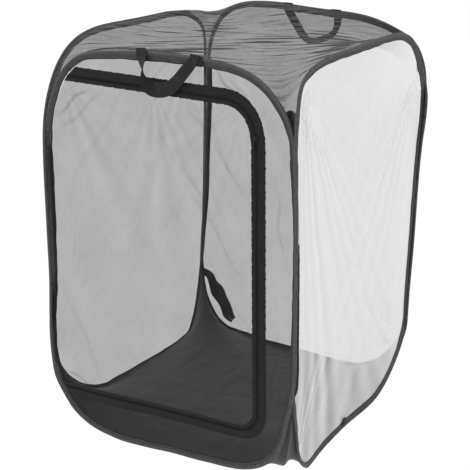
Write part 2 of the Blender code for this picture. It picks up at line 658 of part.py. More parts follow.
def slider_pull(name, pivot, group):
    """A cross bar in the lugs' holes, with the flat pull hanging from it."""
    x, y, z = pivot
    work = bmesh.new()
    bmesh.ops.create_cone(work, cap_ends=True, segments=FERRULE_TURN_STEPS, radius1=PULL_BAR_RADIUS,
                          radius2=PULL_BAR_RADIUS, depth=SLIDER_WIDTH - CLEARANCE * 2)
    mesh = bpy.data.meshes.new(name)
    work.to_mesh(mesh)
    work.free()
    mesh.transform(Matrix.Rotation(math.radians(90), 4, "Y"))
    bar = bpy.data.objects.new(name, mesh)
    bar.location = pivot
    low = (x - PULL_WIDTH / 2, y - PULL_THICKNESS / 2, z - PULL_LENGTH)
    high = (x + PULL_WIDTH / 2, y + PULL_THICKNESS / 2, z + PULL_BAR_RADIUS / 2)
    plate = box(name + "_plate", low, high)
    edge = plate.modifiers.new("edge", "BEVEL")
    edge.width = PULL_BEVEL
    edge.segments = 1
    return union(bar, [plate], group)


def stow_strap(name):
    """A loop of doubled webbing hanging from the back left corner, flat against the outside of the wall."""
    reach, drop = STRAP_REACH, STRAP_TOP - STRAP_FOOT
    edge = [(reach * a, -drop * b) for a, b in STRAP_EDGE_SHARES]
    slit = [(reach * a, -drop * b) for a, b in STRAP_SLIT_SHARES]
    y = BACK_Y + BINDING_RADIUS + CLEARANCE + STRAP_THICKNESS / 2
    return flat_curve(name, [edge, slit], STRAP_THICKNESS, (LEFT_X, y, STRAP_TOP), UPRIGHT_FRONT)


WALLS = {
    "front": {"corners": FRONT_CORNER_SHARES, "half": WIDTH / 2 - WALL_END, "ferrule_u": 0.0,
              "foot_roundness": FRONT_FOOT_ROUNDNESS, "at": (0.0, FRONT_Y, 0.0), "turn": UPRIGHT_FRONT},
    "back": {"corners": BACK_CORNER_SHARES, "half": WIDTH / 2 - WALL_END, "ferrule_u": 0.0,
             "foot_roundness": FOOT_ROUNDNESS, "at": (0.0, BACK_Y, 0.0), "turn": UPRIGHT_FRONT},
    "left": {"corners": LEFT_CORNER_SHARES, "half": DEPTH / 2 - WALL_END, "ferrule_u": 0.0,
             "foot_roundness": FOOT_ROUNDNESS, "at": (LEFT_X, 0.0, 0.0), "turn": UPRIGHT_SIDE},
    "right": {"corners": RIGHT_CORNER_SHARES, "half": DEPTH / 2 - WALL_END, "ferrule_u": -DEPTH / 20,
              "foot_roundness": FOOT_ROUNDNESS, "at": (RIGHT_X, 0.0, 0.0), "turn": UPRIGHT_SIDE},
}


def build():
    clear_scene()
    parts = collection("mesh_insect_cage")
    guides = collection("guides_and_cutters")
    steel = principled("spring_steel", (0.42, 0.43, 0.45), 0.35, 1.0)
    crimp = principled("crimped_sleeve", (0.62, 0.62, 0.64), 0.3, 1.0)
    tape = principled("binding_tape", (0.065, 0.066, 0.070), 0.8)
    mesh_cloth = principled("fine_black_mesh", (0.12, 0.12, 0.13), 0.75, 0.0, 0.4)
    film = principled("frosted_film", (0.93, 0.94, 0.95), 0.3, 0.0, 0.75)
    floor_cloth = principled("black_floor_cloth", (0.035, 0.034, 0.037), 0.7)
    zip_cloth = principled("zipper_tape", (0.022, 0.021, 0.023), 0.75)
    nylon = principled("nylon_teeth", (0.035, 0.035, 0.038), 0.4)
    enamel = principled("black_enamel", (0.03, 0.03, 0.032), 0.35, 0.6)
    webbing = principled("black_webbing", (0.032, 0.031, 0.034), 0.8)
    elastic = principled("black_elastic", (0.02, 0.02, 0.022), 0.7)

    right_axis = axis_empty("right_fold_axis", (RIGHT_X - FOLD_OFFSET, BACK_Y - FOLD_OFFSET, 0.0), parts)
    left_axis = axis_empty("left_fold_axis", (LEFT_X + FOLD_OFFSET, BACK_Y - FOLD_OFFSET, 0.0), parts)
    front_axis = axis_empty("front_fold_axis", (RIGHT_X - FOLD_OFFSET, FRONT_Y + FOLD_OFFSET, 0.0), parts, right_axis)
    door_axis = axis_empty("door_axis", (HINGE_X, FRONT_Y - HINGE_STAND_OFF, 0.0), parts, front_axis)
    carriers = {"front": front_axis, "back": None, "left": left_axis, "right": right_axis}

    for side, wall in WALLS.items():
        parent = carriers[side]
        place(swept_binding(side + "_binding", side, wall["at"], wall["turn"], parts, guides), parts, tape, parent)
        place(hoop_wire(side + "_hoop_wire", side, wall["at"], wall["turn"]), parts, steel, parent)
        place(ferrule(side + "_wire_ferrule", side, wall["at"], wall["turn"], parts), parts, crimp, parent)
        if side != "front":
            name, mat = ("right_film_wall", film) if side == "right" else (side + "_mesh_wall", mesh_cloth)
            place(wall_sheet(name, side, wall["at"], wall["turn"]), parts, mat, parent)

    place(stretched_cloth("roof_mesh", True, ROOF_SEAT, ROOF_SAG, ROOF_FULLNESS), parts, mesh_cloth)
    place(stretched_cloth("floor_cloth", False, FLOOR_SEAT, FLOOR_SAG, FLOOR_FULLNESS), parts, floor_cloth)

    for x, y, name, parent, walls in ((LEFT_X, BACK_Y, "back_left", None, ("left", "back")),
                                      (RIGHT_X, BACK_Y, "back_right", None, ("right", "back")),
                                      (RIGHT_X, FRONT_Y, "front_right", right_axis, ("right", "front")),
                                      (LEFT_X, FRONT_Y, "front_left", left_axis, ("left", "front"))):
        low, high = upright_reach(x, y, walls)
        place(corner_tape(name + "_corner_tape", x, y, low, high), parts, tape, parent)

    place(front_surround("front_mesh_surround"), parts, mesh_cloth, front_axis)
    place(door_sheet("door_mesh"), parts, mesh_cloth, door_axis)
    row = TOOTH_ROW_GAP / 2
    tooth_end = row + TOOTH_WIDTH
    tape_start = tooth_end + CLEARANCE
    place(zip_band("zip_tape_front", tape_start, FRONT_TAPE_WIDTH, ZIP_Y, ZIP_TAPE_THICKNESS), parts, zip_cloth, front_axis)
    place(zip_band("zip_teeth_front", row, tooth_end, ZIP_Y, TOOTH_DEPTH), parts, nylon, front_axis)
    place(zip_band("zip_teeth_door", -tooth_end, -row, ZIP_Y, TOOTH_DEPTH), parts, nylon, door_axis)
    place(zip_band("zip_tape_door", -DOOR_TAPE_WIDTH, -tape_start, ZIP_Y, ZIP_TAPE_THICKNESS), parts, zip_cloth, door_axis)

    stop_back = ZIP_Y - TOOTH_DEPTH / 2 - CLEARANCE
    for name, z, shift in (("zip_stop_top", TOOTH_TOP, row), ("zip_stop_foot", TOOTH_FOOT, -tooth_end - CLEARANCE)):
        start = front_edge_x(z, BINDING_WIDTH + HINGE_GAP) + STOP_LENGTH
        z = leaned(start + STOP_LENGTH / 2, z)[1] + shift
        low = (start, stop_back - SLIDER_PLATE, z)
        place(box(name, low, (start + STOP_LENGTH, stop_back, z + TOOTH_WIDTH)), parts, enamel, front_axis)

    slider_at = leaned(TOOTH_X, TOOTH_TOP - SLIDER_DROP)
    body, pivot = slider_body("zip_slider", *slider_at, guides, parts)
    slider_axis = axis_empty("slider_run", pivot, parts, door_axis)
    pull_axis = axis_empty("pull_axis", pivot, parts, slider_axis)
    place(body, parts, enamel, slider_axis)
    place(slider_pull("zip_pull", pivot, parts), parts, enamel, pull_axis)

    for end, out, shift, parent in (("front", -1, FRONT_LOOP_SHIFT, front_axis), ("back", 1, BACK_LOOP_SHIFT, None)):
        y = FRONT_Y if out < 0 else BACK_Y
        top = height_on_hoop(end, True)
        ends = [shift - LOOP_SPACING / 2, shift + LOOP_SPACING / 2]
        reach = WEBBING_WIDTH / 2
        crown = max(float(top(x + d)) for x in ends for d in (-reach, 0.0, reach))
        for x, hand in zip(ends, ("left", "right")):
            place(loop_tab(f"{end}_loop_tab_{hand}", x, crown, out), parts, webbing, parent)
        at = (shift, y + out * LOOP_STAND_OFF, crown + LOOP_STAND_OFF - BINDING_RADIUS)
        swing = axis_empty(end + "_loop_axis", at, parts, parent)
        place(carrying_loop(end + "_carrying_loop", *at), parts, webbing, swing)

    place(stow_strap("stow_strap"), parts, webbing)
    out_x = RIGHT_X + BINDING_RADIUS + CLEARANCE
    foot = WALLS["right"]["ferrule_u"] + FERRULE_LENGTH
    low = (out_x, foot - ELASTIC_WIDTH / 2, ELASTIC_FOOT)
    high = (out_x + ELASTIC_THICKNESS, foot + ELASTIC_WIDTH / 2, ELASTIC_FOOT + ELASTIC_HEIGHT)
    place(box("elastic_tab", low, high), parts, elastic, right_axis)


def upright_reach(x, y, walls):
    """Lowest and highest point of the upright stretch that two neighbouring hoops share."""
    lows, highs = [], []
    for side in walls:
        wall = WALLS[side]
        positive = (x > 0) if side in ("front", "back") else (y > 0)
        top, foot = (1, 2) if positive else (0, 3)
        lows.append(wall["corners"][foot][1] * HEIGHT)
        highs.append(HEIGHT * (1 - wall["corners"][top][1]))
    return max(lows), min(highs)


build()
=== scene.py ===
import math

import bmesh
import bpy
import numpy as np
from mathutils import Matrix, Vector


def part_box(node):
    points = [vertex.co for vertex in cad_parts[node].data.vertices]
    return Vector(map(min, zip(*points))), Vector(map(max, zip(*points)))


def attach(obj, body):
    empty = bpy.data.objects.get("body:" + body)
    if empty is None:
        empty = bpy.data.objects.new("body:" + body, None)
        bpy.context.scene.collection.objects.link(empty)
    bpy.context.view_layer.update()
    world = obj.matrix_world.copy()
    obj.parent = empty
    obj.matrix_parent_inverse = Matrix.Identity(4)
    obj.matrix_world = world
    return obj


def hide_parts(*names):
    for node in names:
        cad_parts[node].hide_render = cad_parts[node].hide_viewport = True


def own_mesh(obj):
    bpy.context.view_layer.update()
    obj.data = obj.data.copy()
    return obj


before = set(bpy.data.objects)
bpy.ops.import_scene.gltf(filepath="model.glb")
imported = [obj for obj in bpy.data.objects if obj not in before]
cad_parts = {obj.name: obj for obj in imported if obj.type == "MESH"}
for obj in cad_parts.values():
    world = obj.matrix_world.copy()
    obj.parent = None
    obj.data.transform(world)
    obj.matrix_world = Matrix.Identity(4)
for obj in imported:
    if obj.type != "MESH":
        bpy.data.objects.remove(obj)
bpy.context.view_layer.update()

tau = 2 * math.pi


# Numbers and noise

def ripples(x, y, seed, count, wavelength, heading=0.0, spread=tau):
    # a sum of plane sine waves with random headings, lengths and phases, about -1 to 1
    rng = np.random.default_rng(seed)
    total = np.zeros(np.broadcast(x, y).shape)
    for _ in range(count):
        angle = heading + (rng.random() - 0.5) * spread
        length = wavelength * rng.uniform(0.65, 1.6)
        total += np.sin(tau * (x * math.cos(angle) + y * math.sin(angle)) / length + rng.uniform(0, tau))
    return total / math.sqrt(count)


def smoothStep(x, low, high):
    t = np.clip((x - low) / (high - low), 0, 1)
    return t * t * (3 - 2 * t)


def stepsAlong(line):
    # how far along the line each of its points lies
    return np.concatenate(([0.0], np.cumsum(np.linalg.norm(np.diff(line, axis=0), axis=1))))


def unit(vectors):
    return vectors / np.linalg.norm(vectors, axis=-1)[..., None]


def columnsAt(where, at, line):
    # every column of a line read at the given lengths
    return np.column_stack([np.interp(where, at, column) for column in line.T])


def resample(line, count, closed=False):
    # the same line with count points at equal steps of its length
    if closed:
        line = np.vstack((line, line[:1]))
    at = stepsAlong(line)
    return columnsAt(np.linspace(0, at[-1], count + 1)[:-1] if closed else np.linspace(0, at[-1], count), at, line)


def eased(t, first, last, rise, fall):
    # a smooth curve from first to last that starts and ends with the given slopes
    return ((2 * t ** 3 - 3 * t ** 2 + 1) * first + (t ** 3 - 2 * t ** 2 + t) * rise
            + (3 * t ** 2 - 2 * t ** 3) * last + (t ** 3 - t ** 2) * fall)


def roundTable(table, share):
    # smooth closed curve through pairs: thousandths of the way round, millimetres
    keys = np.array(table) / 1000
    xs = np.concatenate((keys[:, 0] - 1, keys[:, 0], keys[:, 0] + 1))
    ys = np.tile(keys[:, 1], 3)
    slopes = np.gradient(ys, xs)
    k = np.clip(np.searchsorted(xs, share, side="right") - 1, 0, len(xs) - 2)
    h = xs[k + 1] - xs[k]
    return eased((share - xs[k]) / h, ys[k], ys[k + 1], h * slopes[k], h * slopes[k + 1])


def throughPoints(keys, count):
    # smooth open line through a few points
    keys = np.array(keys, float)
    at = stepsAlong(keys)
    slopes = np.gradient(keys, at, axis=0)
    where = np.linspace(0, at[-1], count)
    k = np.clip(np.searchsorted(at, where, side="right") - 1, 0, len(at) - 2)
    h = (at[k + 1] - at[k])[:, None]
    return eased((where - at[k])[:, None] / h, keys[k], keys[k + 1], h * slopes[k], h * slopes[k + 1])


def wavesAlong(rng, share, counts):
    # sine waves of these counts over a line, each with a random phase
    return sum(np.sin(tau * k * share + rng.uniform(0, tau)) for k in counts)


# Meshes

def linked(name, data):
    obj = bpy.data.objects.new(name, data)
    bpy.context.scene.collection.objects.link(obj)
    return obj


def gridQuads(rows, cols):
    index = np.arange(rows * cols).reshape(rows, cols)
    return np.stack((index[:-1, :-1], index[1:, :-1], index[1:, 1:], index[:-1, 1:]), -1).reshape(-1, 4)


def weldMesh(mesh, gap, caps):
    # merge points closer than gap, close the open ends if asked, and turn a closed mesh's faces outward
    work = bmesh.new()
    work.from_mesh(mesh)
    bmesh.ops.remove_doubles(work, verts=work.verts, dist=gap)
    if caps:
        bmesh.ops.holes_fill(work, edges=[e for e in work.edges if e.is_boundary], sides=0)
    if not any(e.is_boundary for e in work.edges):
        bmesh.ops.recalc_face_normals(work, faces=work.faces)
    work.to_mesh(mesh)
    work.free()


def sheetMesh(name, points, uv, attributes=None, weld=False, caps=False):
    # a grid of points (rows, columns, 3) made into quads, with its map in metres and its point attributes
    rows, cols = points.shape[:2]
    quads = gridQuads(rows, cols)
    mesh = bpy.data.meshes.new(name)
    mesh.vertices.add(rows * cols)
    mesh.vertices.foreach_set("co", points.reshape(-1).astype(np.float32))
    mesh.loops.add(quads.size)
    mesh.loops.foreach_set("vertex_index", quads.reshape(-1).astype(np.int32))
    mesh.polygons.add(len(quads))
    mesh.polygons.foreach_set("loop_start", np.arange(0, quads.size, 4, dtype=np.int32))
    layer = mesh.uv_layers.new(name="UVMap")
    layer.data.foreach_set("uv", uv.reshape(-1, 2)[quads.reshape(-1)].reshape(-1).astype(np.float32))
    for key, values in (attributes or {}).items():
        layer = mesh.attributes.new(key, "FLOAT", "POINT")
        layer.data.foreach_set("value", np.broadcast_to(values, (rows, cols)).reshape(-1).astype(np.float32))
    mesh.update()
    mesh.validate()
    if weld or caps:
        weldMesh(mesh, 1e-6, caps)
    mesh.shade_smooth()
    return linked(name, mesh)


def dress(obj, body, finish, nodes=()):
    # put a piece on its body: finish is a material with its slot, nodes are the solids that it stands for
    material, slotName = finish
    obj.data.materials.append(material)
    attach(obj, body)
    if nodes:
        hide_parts(*nodes)
    return obj


def swept(path, across, out, profile):
    # a profile (points, 2) carried along a path: place + across * first + out * second
    profile = np.broadcast_to(profile, (len(path),) + profile.shape[-2:])
    return path[:, None] + across[:, None] * profile[..., :1] + out[:, None] * profile[..., 1:2]


def lengthMap(along, across):
    return np.stack(np.broadcast_arrays(along[:, None], across[None]), -1)


def sweptMap(path, profile):
    # metres along the path and metres round the profile
    return lengthMap(stepsAlong(path), stepsAlong(profile if profile.ndim == 2 else profile[0]))


def tubeFrames(path):
    # two directions square to a path, without twist
    along = unit(np.gradient(path, axis=0))
    side = np.empty_like(path)
    start = np.array((0.0, 0.0, 1.0)) if abs(along[0, 2]) < 0.9 else np.array((1.0, 0.0, 0.0))
    for k, a in enumerate(along):
        start = start - a * (start @ a)
        start /= np.linalg.norm(start)
        side[k] = start
    return side, np.cross(along, side)


def ring(radius, count=12):
    turn = np.linspace(0, tau, count + 1)
    return np.column_stack((radius * np.cos(turn), radius * np.sin(turn)))


def tube(name, path, radius, body, finish, nodes=(), closed=False, sides=12):
    if closed:
        path = np.vstack((path, path[:1]))
    side, up = tubeFrames(path)
    if closed:
        side[-1], up[-1] = side[0], up[0]
    section = ring(1.0, sides)[None] * np.broadcast_to(radius, (len(path),))[:, None, None]
    points = swept(path, side, up, section)
    obj = sheetMesh(name, points, sweptMap(path, section), weld=True, caps=not closed)
    return dress(obj, body, finish, nodes)


# Materials

def newMaterial(name, colour, roughness, metallic=0.0, sheen=0.0, specular=0.5):
    mat = bpy.data.materials.new(name)
    mat.use_nodes = True
    shader = mat.node_tree.nodes["Principled BSDF"]
    shader.inputs["Base Color"].default_value = (*colour, 1)
    shader.inputs["Roughness"].default_value = roughness
    shader.inputs["Metallic"].default_value = metallic
    shader.inputs["Sheen Weight"].default_value = sheen
    shader.inputs["Sheen Roughness"].default_value = 0.5
    shader.inputs["Specular IOR Level"].default_value = specular
    return mat


def node(mat, kind, links=None, **values):
    # a new node with its settings and its inputs, each of which is a number or another node's output
    made = mat.node_tree.nodes.new("ShaderNode" + kind)
    for key, value in values.items():
        setattr(made, key, value)
    for key, value in (links or {}).items():
        if isinstance(value, bpy.types.NodeSocket):
            mat.node_tree.links.new(value, made.inputs[key])
        else:
            made.inputs[key].default_value = value
    return made


def calc(mat, operation, a, b=0.0, c=0.0, clamp=False):
    return node(mat, "Math", {0: a, 1: b, 2: c}, operation=operation, use_clamp=clamp).outputs[0]


def about(mat, value, middle, gain):
    # a value's distance from its middle, times a gain
    return calc(mat, "MULTIPLY", calc(mat, "SUBTRACT", value, middle), gain)


def spread(mat, value, low, high, toLow=0.0, toHigh=1.0):
    return node(mat, "MapRange", {0: value, 1: low, 2: high, 3: toLow, 4: toHigh}).outputs[0]


def blendColour(mat, share, a, b):
    made = node(mat, "Mix", {0: share}, data_type="RGBA")
    for socket, value in ((made.inputs[6], a), (made.inputs[7], b)):
        if isinstance(value, bpy.types.NodeSocket):
            mat.node_tree.links.new(value, socket)
        else:
            socket.default_value = (*value, 1)
    return made.outputs[2]


def mapXY(mat):
    apart = node(mat, "SeparateXYZ", {0: node(mat, "UVMap", uv_map="UVMap").outputs[0]})
    return apart.outputs[0], apart.outputs[1]


def wave(mat, value, pitch):
    # 0 to 1 and back, once every pitch metres
    turned = calc(mat, "SINE", calc(mat, "MULTIPLY", value, tau / pitch))
    return calc(mat, "MULTIPLY_ADD", turned, 0.5, 0.5)


def noise(mat, scale, detail=3.0, stretch=(1, 1, 1), coords="UV", turn=0.0):
    if coords == "UV":
        source = node(mat, "UVMap", uv_map="UVMap").outputs[0]
    else:
        source = node(mat, "TexCoord").outputs["Object"]
    turned = node(mat, "Mapping", {"Vector": source, "Rotation": (0.0, 0.0, turn)})
    placed = node(mat, "Mapping", {"Vector": turned.outputs[0], "Scale": tuple(scale * s for s in stretch)})
    return node(mat, "TexNoise", {"Vector": placed.outputs[0], "Scale": 1.0, "Detail": detail}).outputs[0]


def finishShader(mat, colour=None, height=None, depth=0.0003, roughness=None, alpha=None):
    shader = mat.node_tree.nodes["Principled BSDF"]
    links = mat.node_tree.links
    if colour is not None:
        links.new(colour, shader.inputs["Base Color"])
    if roughness is not None:
        links.new(roughness, shader.inputs["Roughness"])
    if alpha is not None:
        links.new(alpha, shader.inputs["Alpha"])
    if height is not None:
        bump = node(mat, "Bump", {"Height": height, "Strength": 0.7, "Distance": depth})
        links.new(bump.outputs[0], shader.inputs["Normal"])
    return mat


def grey(level):
    # linear colour of a grey that shows at this level of 255
    return (((level / 255 + 0.055) / 1.055) ** 2.4,) * 3


# Greys are levels of 255, ribs and stitches are metres
print("materials")
# in tapeLook the bulge grey is lighter than the hem as a painted highlight, and the edge grey is painted shade along
# the hem's edge
tapeLook = {"bulge": 88, "hem": 64, "edge": 12, "worn": 34, "groove": 26, "thread": 92, "rib": 0.0011, "yarn": 0.0009,
            "stitch": 0.0032, "stitchAt": 0.80}
netLook = {"thread": 30, "patch": 14, "weave": 0.0016, "threadsSeen": 0.25}
filmLook = {"face": 243, "scuffed": 232, "cover": 0.66}
floorLook = {"dark": 34, "pale": 48, "yarn": 62, "weave": 0.0011}


def bindingTape():
    # woven tape: ribs across it, a row of stitches near the hem's edge, a painted highlight on the bulge and painted
    # shade along the hem's edge
    mat = newMaterial("bindingTape", grey(60), 0.66, sheen=0.08, specular=0.25)
    u, v = mapXY(mat)
    hem = node(mat, "Attribute", attribute_name="hem").outputs["Fac"]
    # painted highlight: the bulge is lighter than the flat hem
    base = blendColour(mat, spread(mat, hem, 0.3, 0.62), grey(tapeLook["bulge"]), grey(tapeLook["hem"]))
    # painted shade: near black along the hem's edge
    base = blendColour(mat, spread(mat, hem, 0.80, 0.97), base, grey(tapeLook["edge"]))
    mottle = noise(mat, 140.0, 4.0)
    base = blendColour(mat, spread(mat, mottle, 0.38, 0.70, 0.0, 0.5), base, grey(tapeLook["worn"]))
    ribs = wave(mat, u, tapeLook["rib"])
    across = wave(mat, v, tapeLook["yarn"])
    base = blendColour(mat, calc(mat, "MULTIPLY", ribs, 0.30), base, grey(tapeLook["groove"]))
    off = calc(mat, "ABSOLUTE", about(mat, hem, tapeLook["stitchAt"], 18.0))
    near = calc(mat, "SUBTRACT", 1.0, off, clamp=True)
    dash = spread(mat, wave(mat, u, tapeLook["stitch"]), 0.35, 0.5)
    stitch = calc(mat, "MULTIPLY", near, dash)
    base = blendColour(mat, calc(mat, "MULTIPLY", stitch, 0.6), base, grey(tapeLook["thread"]))
    height = calc(mat, "ADD", calc(mat, "MULTIPLY", ribs, across), calc(mat, "MULTIPLY", stitch, 1.5))
    return finishShader(mat, base, height, 0.0003, spread(mat, mottle, 0.3, 0.7, 0.52, 0.74))


def netting(name, cover):
    # fine net: how much of it is thread (alpha) follows its folds, its streaks and its two-way weave
    dark = netLook["thread"]
    mat = newMaterial(name, grey(dark), 0.7, sheen=0.15)
    u, v = mapXY(mat)
    fold = node(mat, "Attribute", attribute_name="fold").outputs["Fac"]
    streak = noise(mat, 1.0, 3.0, stretch=(80, 5, 1), turn=0.75)
    other = noise(mat, 1.0, 3.0, stretch=(60, 4, 1), turn=-0.60)
    cloud = noise(mat, 9.0, 3.0)
    grid = calc(mat, "MULTIPLY", wave(mat, u, netLook["weave"]), wave(mat, v, netLook["weave"]))
    alpha = cover
    for part, middle, gain in ((streak, 0.5, 0.055), (other, 0.5, 0.045), (cloud, 0.5, 0.13),
                               (grid, netLook["threadsSeen"], 0.03)):
        alpha = calc(mat, "ADD", alpha, about(mat, part, middle, gain))
    alpha = calc(mat, "ADD", alpha, fold, clamp=True)
    patch = spread(mat, node(mat, "Attribute", attribute_name="patch").outputs["Fac"], 0.45, 0.55)
    alpha = calc(mat, "MAXIMUM", alpha, patch)
    colour = blendColour(mat, patch, grey(dark), grey(netLook["patch"]))
    colour = blendColour(mat, spread(mat, cloud, 0.35, 0.7, 0.0, 0.35), colour, grey(dark * 1.5))
    return finishShader(mat, colour, grid, 0.0002, None, alpha)


def milkyFilm():
    # soft frosted film: its creases carry painted highlight and shade through how opaque it is, with fine scuffs
    face = grey(filmLook["face"])
    mat = newMaterial("milkyFilm", face, 0.32, specular=0.35)
    fold = node(mat, "Attribute", attribute_name="fold").outputs["Fac"]
    scuff = noise(mat, 60.0, 5.0, stretch=(1, 0.35, 1))
    alpha = calc(mat, "ADD", filmLook["cover"], about(mat, scuff, 0.5, 0.10))
    # painted highlight and shade: the fold attribute makes the creases more or less opaque, so whiter or clearer
    alpha = calc(mat, "ADD", alpha, fold, clamp=True)
    colour = blendColour(mat, spread(mat, scuff, 0.35, 0.7, 0.0, 0.4), face, grey(filmLook["scuffed"]))
    return finishShader(mat, colour, scuff, 0.0003, spread(mat, scuff, 0.3, 0.7, 0.24, 0.42), alpha)


def coatedCloth():
    # close black floor cloth with a dull coat, fine plain weave and soft cloudy wear
    mat = newMaterial("coatedCloth", grey(52), 0.6, sheen=0.2)
    u, v = mapXY(mat)
    cloud = noise(mat, 22.0, 4.0)
    weave = calc(mat, "ADD", wave(mat, u, floorLook["weave"]), wave(mat, v, floorLook["weave"]))
    colour = blendColour(mat, spread(mat, cloud, 0.35, 0.68), grey(floorLook["dark"]), grey(floorLook["pale"]))
    colour = blendColour(mat, spread(mat, weave, 1.2, 2.0, 0.0, 0.25), colour, grey(floorLook["yarn"]))
    return finishShader(mat, colour, weave, 0.0002, spread(mat, cloud, 0.35, 0.7, 0.5, 0.7))


def wovenBlack(name, level, rib, rough=0.75, sheen=0.06):
    # black woven narrow goods: ribs across, a herringbone shade along, worn paler in places
    mat = newMaterial(name, grey(level), rough, sheen=sheen, specular=0.2)
    u, v = mapXY(mat)
    bent = calc(mat, "ABSOLUTE", calc(mat, "SUBTRACT", wave(mat, v, 0.008), 0.5))
    slant = calc(mat, "ADD", u, calc(mat, "MULTIPLY", bent, 0.004))
    ribs = wave(mat, slant, rib)
    wear = noise(mat, 55.0, 4.0)
    colour = blendColour(mat, ribs, grey(level * 0.62), grey(level * 1.25))
    colour = blendColour(mat, spread(mat, wear, 0.5, 0.72, 0.0, 0.5), colour, grey(level * 1.9))
    height = calc(mat, "MULTIPLY", ribs, wave(mat, v, rib * 1.3))
    return finishShader(mat, colour, height, 0.0004, spread(mat, wear, 0.3, 0.7, rough - 0.1, rough + 0.1))


def fineGrained(name, level, rough, metallic, specular=0.5):
    # metal and hard plastic with a fine grain in grey and gloss
    mat = newMaterial(name, grey(level), rough, metallic, specular=specular)
    mark = noise(mat, 900.0, 3.0, coords="Object")
    colour = blendColour(mat, spread(mat, mark, 0.35, 0.65), grey(level * 0.85), grey(level * 1.1))
    return finishShader(mat, colour, mark, 0.00005, spread(mat, mark, 0.3, 0.7, rough * 0.8, rough * 1.25))


tapeFinish = (bindingTape(), "binding_tape")
wallNet = (netting("wallNet", 0.362), "fine_black_mesh")
roofNet = (netting("roofNet", 0.49), "fine_black_mesh")
filmFinish = (milkyFilm(), "frosted_film")
floorFinish = (coatedCloth(), "black_floor_cloth")
zipCloth = (wovenBlack("zipCloth", 24, 0.0012), "zipper_tape")
webbing = (wovenBlack("webbing", 34, 0.0016), "black_webbing")
tapeDark = (wovenBlack("seamTape", 30, 0.0012, 0.8, 0.05), "binding_tape")
elasticFinish = (wovenBlack("elastic", 30, 0.0009), "black_elastic")
nylon = (fineGrained("nylonTeeth", 34, 0.62, 0.0, 0.12), "nylon_teeth")
enamel = (fineGrained("blackEnamel", 40, 0.28, 0.5), "black_enamel")
steel = (fineGrained("springSteel", 160, 0.32, 1.0), "spring_steel")
sleeveMetal = (fineGrained("sleeveMetal", 190, 0.3, 1.0), "crimped_sleeve")
thread = (wovenBlack("sewingThread", 30, 0.0006), "black_enamel")


# The hoops. Corners are (along the wall, up), for top start, top end, foot end, foot start.
# outs moves the line out and widths sets the tape: thousandths of the way round, from the foot of the far side up,
# over the top and down again, and millimetres. lean pulls the foot of the wall in: depth, middle, reach, rise.
print("hoops")
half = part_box("front_binding")[1].x
footDrop = 0.020
topPower = 2.6
frontY, backY = -0.3, 0.3
leftX, rightX = -0.3, 0.3
topHeight = 0.87
hoopSettings = {
    "front": {"corners": ((0.276, 0.242), (0.236, 0.239), (0.16, 0.131), (0.143, 0.115)),
              "bow": -0.01, "footPower": 2.1, "lean": (-0.01, 0.1, 0.17, 0.12),
              "outs": ((0, 1), (30, -1), (55, -1), (78, 1), (94, 7), (110, 15), (130, 21), (170, 19), (212, 16),
                       (254, 12), (298, 7), (320, 9), (345, 5), (370, 3), (390, 0), (446, -1), (473, -4), (502, -3),
                       (527, 5), (544, 5), (569, 1), (600, 6), (690, 6), (733, 8), (755, 12), (773, 17), (802, 15),
                       (820, 9), (838, 3), (855, 8), (875, 13), (890, 16), (904, 19), (920, 18), (935, 16), (955, 11),
                       (979, 7)),
              "widths": ((0, 17), (70, 16), (120, 12), (200, 10), (280, 11), (320, 15), (360, 15), (420, 18),
                         (500, 17), (560, 15), (610, 19), (720, 19), (820, 17), (900, 17))},
    "back": {"corners": ((0.134, 0.253), (0.254, 0.122), (0.127, 0.158), (0.099, 0.143)),
             "bow": 0.01, "footPower": 1.85, "lean": (-0.026, 0.03, 0.17, 0.2),
             "outs": ((15, 5), (45, 12), (60, 12), (80, 11), (100, 10), (150, 11), (250, 12), (275, 16), (290, 15),
                      (303, 9), (318, 6), (335, 10), (352, 8), (380, 9), (425, 8), (448, 11), (469, 15), (492, 14),
                      (508, 10), (530, 8), (550, 6), (580, -2), (602, -7), (631, -6), (662, -3), (708, -1), (760, 7),
                      (775, 8), (800, 3), (850, 4), (950, 0)),
             "widths": ((0, 16), (100, 14), (340, 15), (420, 17), (520, 13), (570, 9), (700, 9), (780, 10), (840, 13),
                        (920, 16))},
    "left": {"corners": ((0.281, 0.22), (0.2145, 0.081), (0.077, 0.208), (0.152, 0.16)),
             "bow": -0.006, "footPower": 1.85, "lean": (-0.027, -0.01, 0.235, 0.22),
             "outs": ((10, 4), (30, 4), (60, 4), (100, 12), (150, 17), (200, 18), (250, 18), (280, 17), (298, 16),
                      (308, 12), (321, 5), (350, 6), (370, 5), (400, 3), (425, 2), (456, 2), (478, 5), (500, 8),
                      (515, 8), (530, 6), (548, 5), (590, 14), (670, 14), (710, 13), (750, 18), (790, 15), (850, 0)),
             "widths": ((0, 8), (60, 7), (100, 5), (270, 5), (330, 11), (380, 15), (500, 16), (600, 18), (800, 18),
                        (870, 12), (930, 8))},
    "right": {"corners": ((0.1785, 0.0705), (0.229, 0.203), (0.2837, 0.172), (0.116, 0.3045)),
              "bow": 0.0, "footPower": 1.85, "lean": (-0.017, -0.03, 0.15, 0.18),
              "outs": ((6, 8), (30, 14), (50, 17), (80, 18), (120, 16), (165, 13), (200, 13), (250, 13), (300, 15),
                       (333, 17), (352, 13), (373, 3), (410, 9), (430, 9), (446, 8), (473, 7), (502, 5), (530, 3),
                       (590, 6), (606, 10), (621, 14), (637, 15), (655, 10), (675, 5), (700, 1), (750, -3), (850, -4),
                       (875, -4), (890, 2), (902, 6), (920, 6), (940, 12), (970, 10)),
              "widths": ((0, 18), (70, 20), (120, 26), (180, 29), (300, 29), (350, 25), (390, 18), (450, 16),
                         (550, 16), (610, 11), (660, 9), (700, 11), (750, 16), (800, 17), (860, 12), (900, 8),
                         (930, 15))},
}
hoopSteps = 480


def quarter(across, up, power, count=40):
    # a quarter of a superellipse, from its upright end to its level end
    turn = np.linspace(0, math.pi / 2, count)
    return across * np.cos(turn) ** (2 / power), up * np.sin(turn) ** (2 / power)


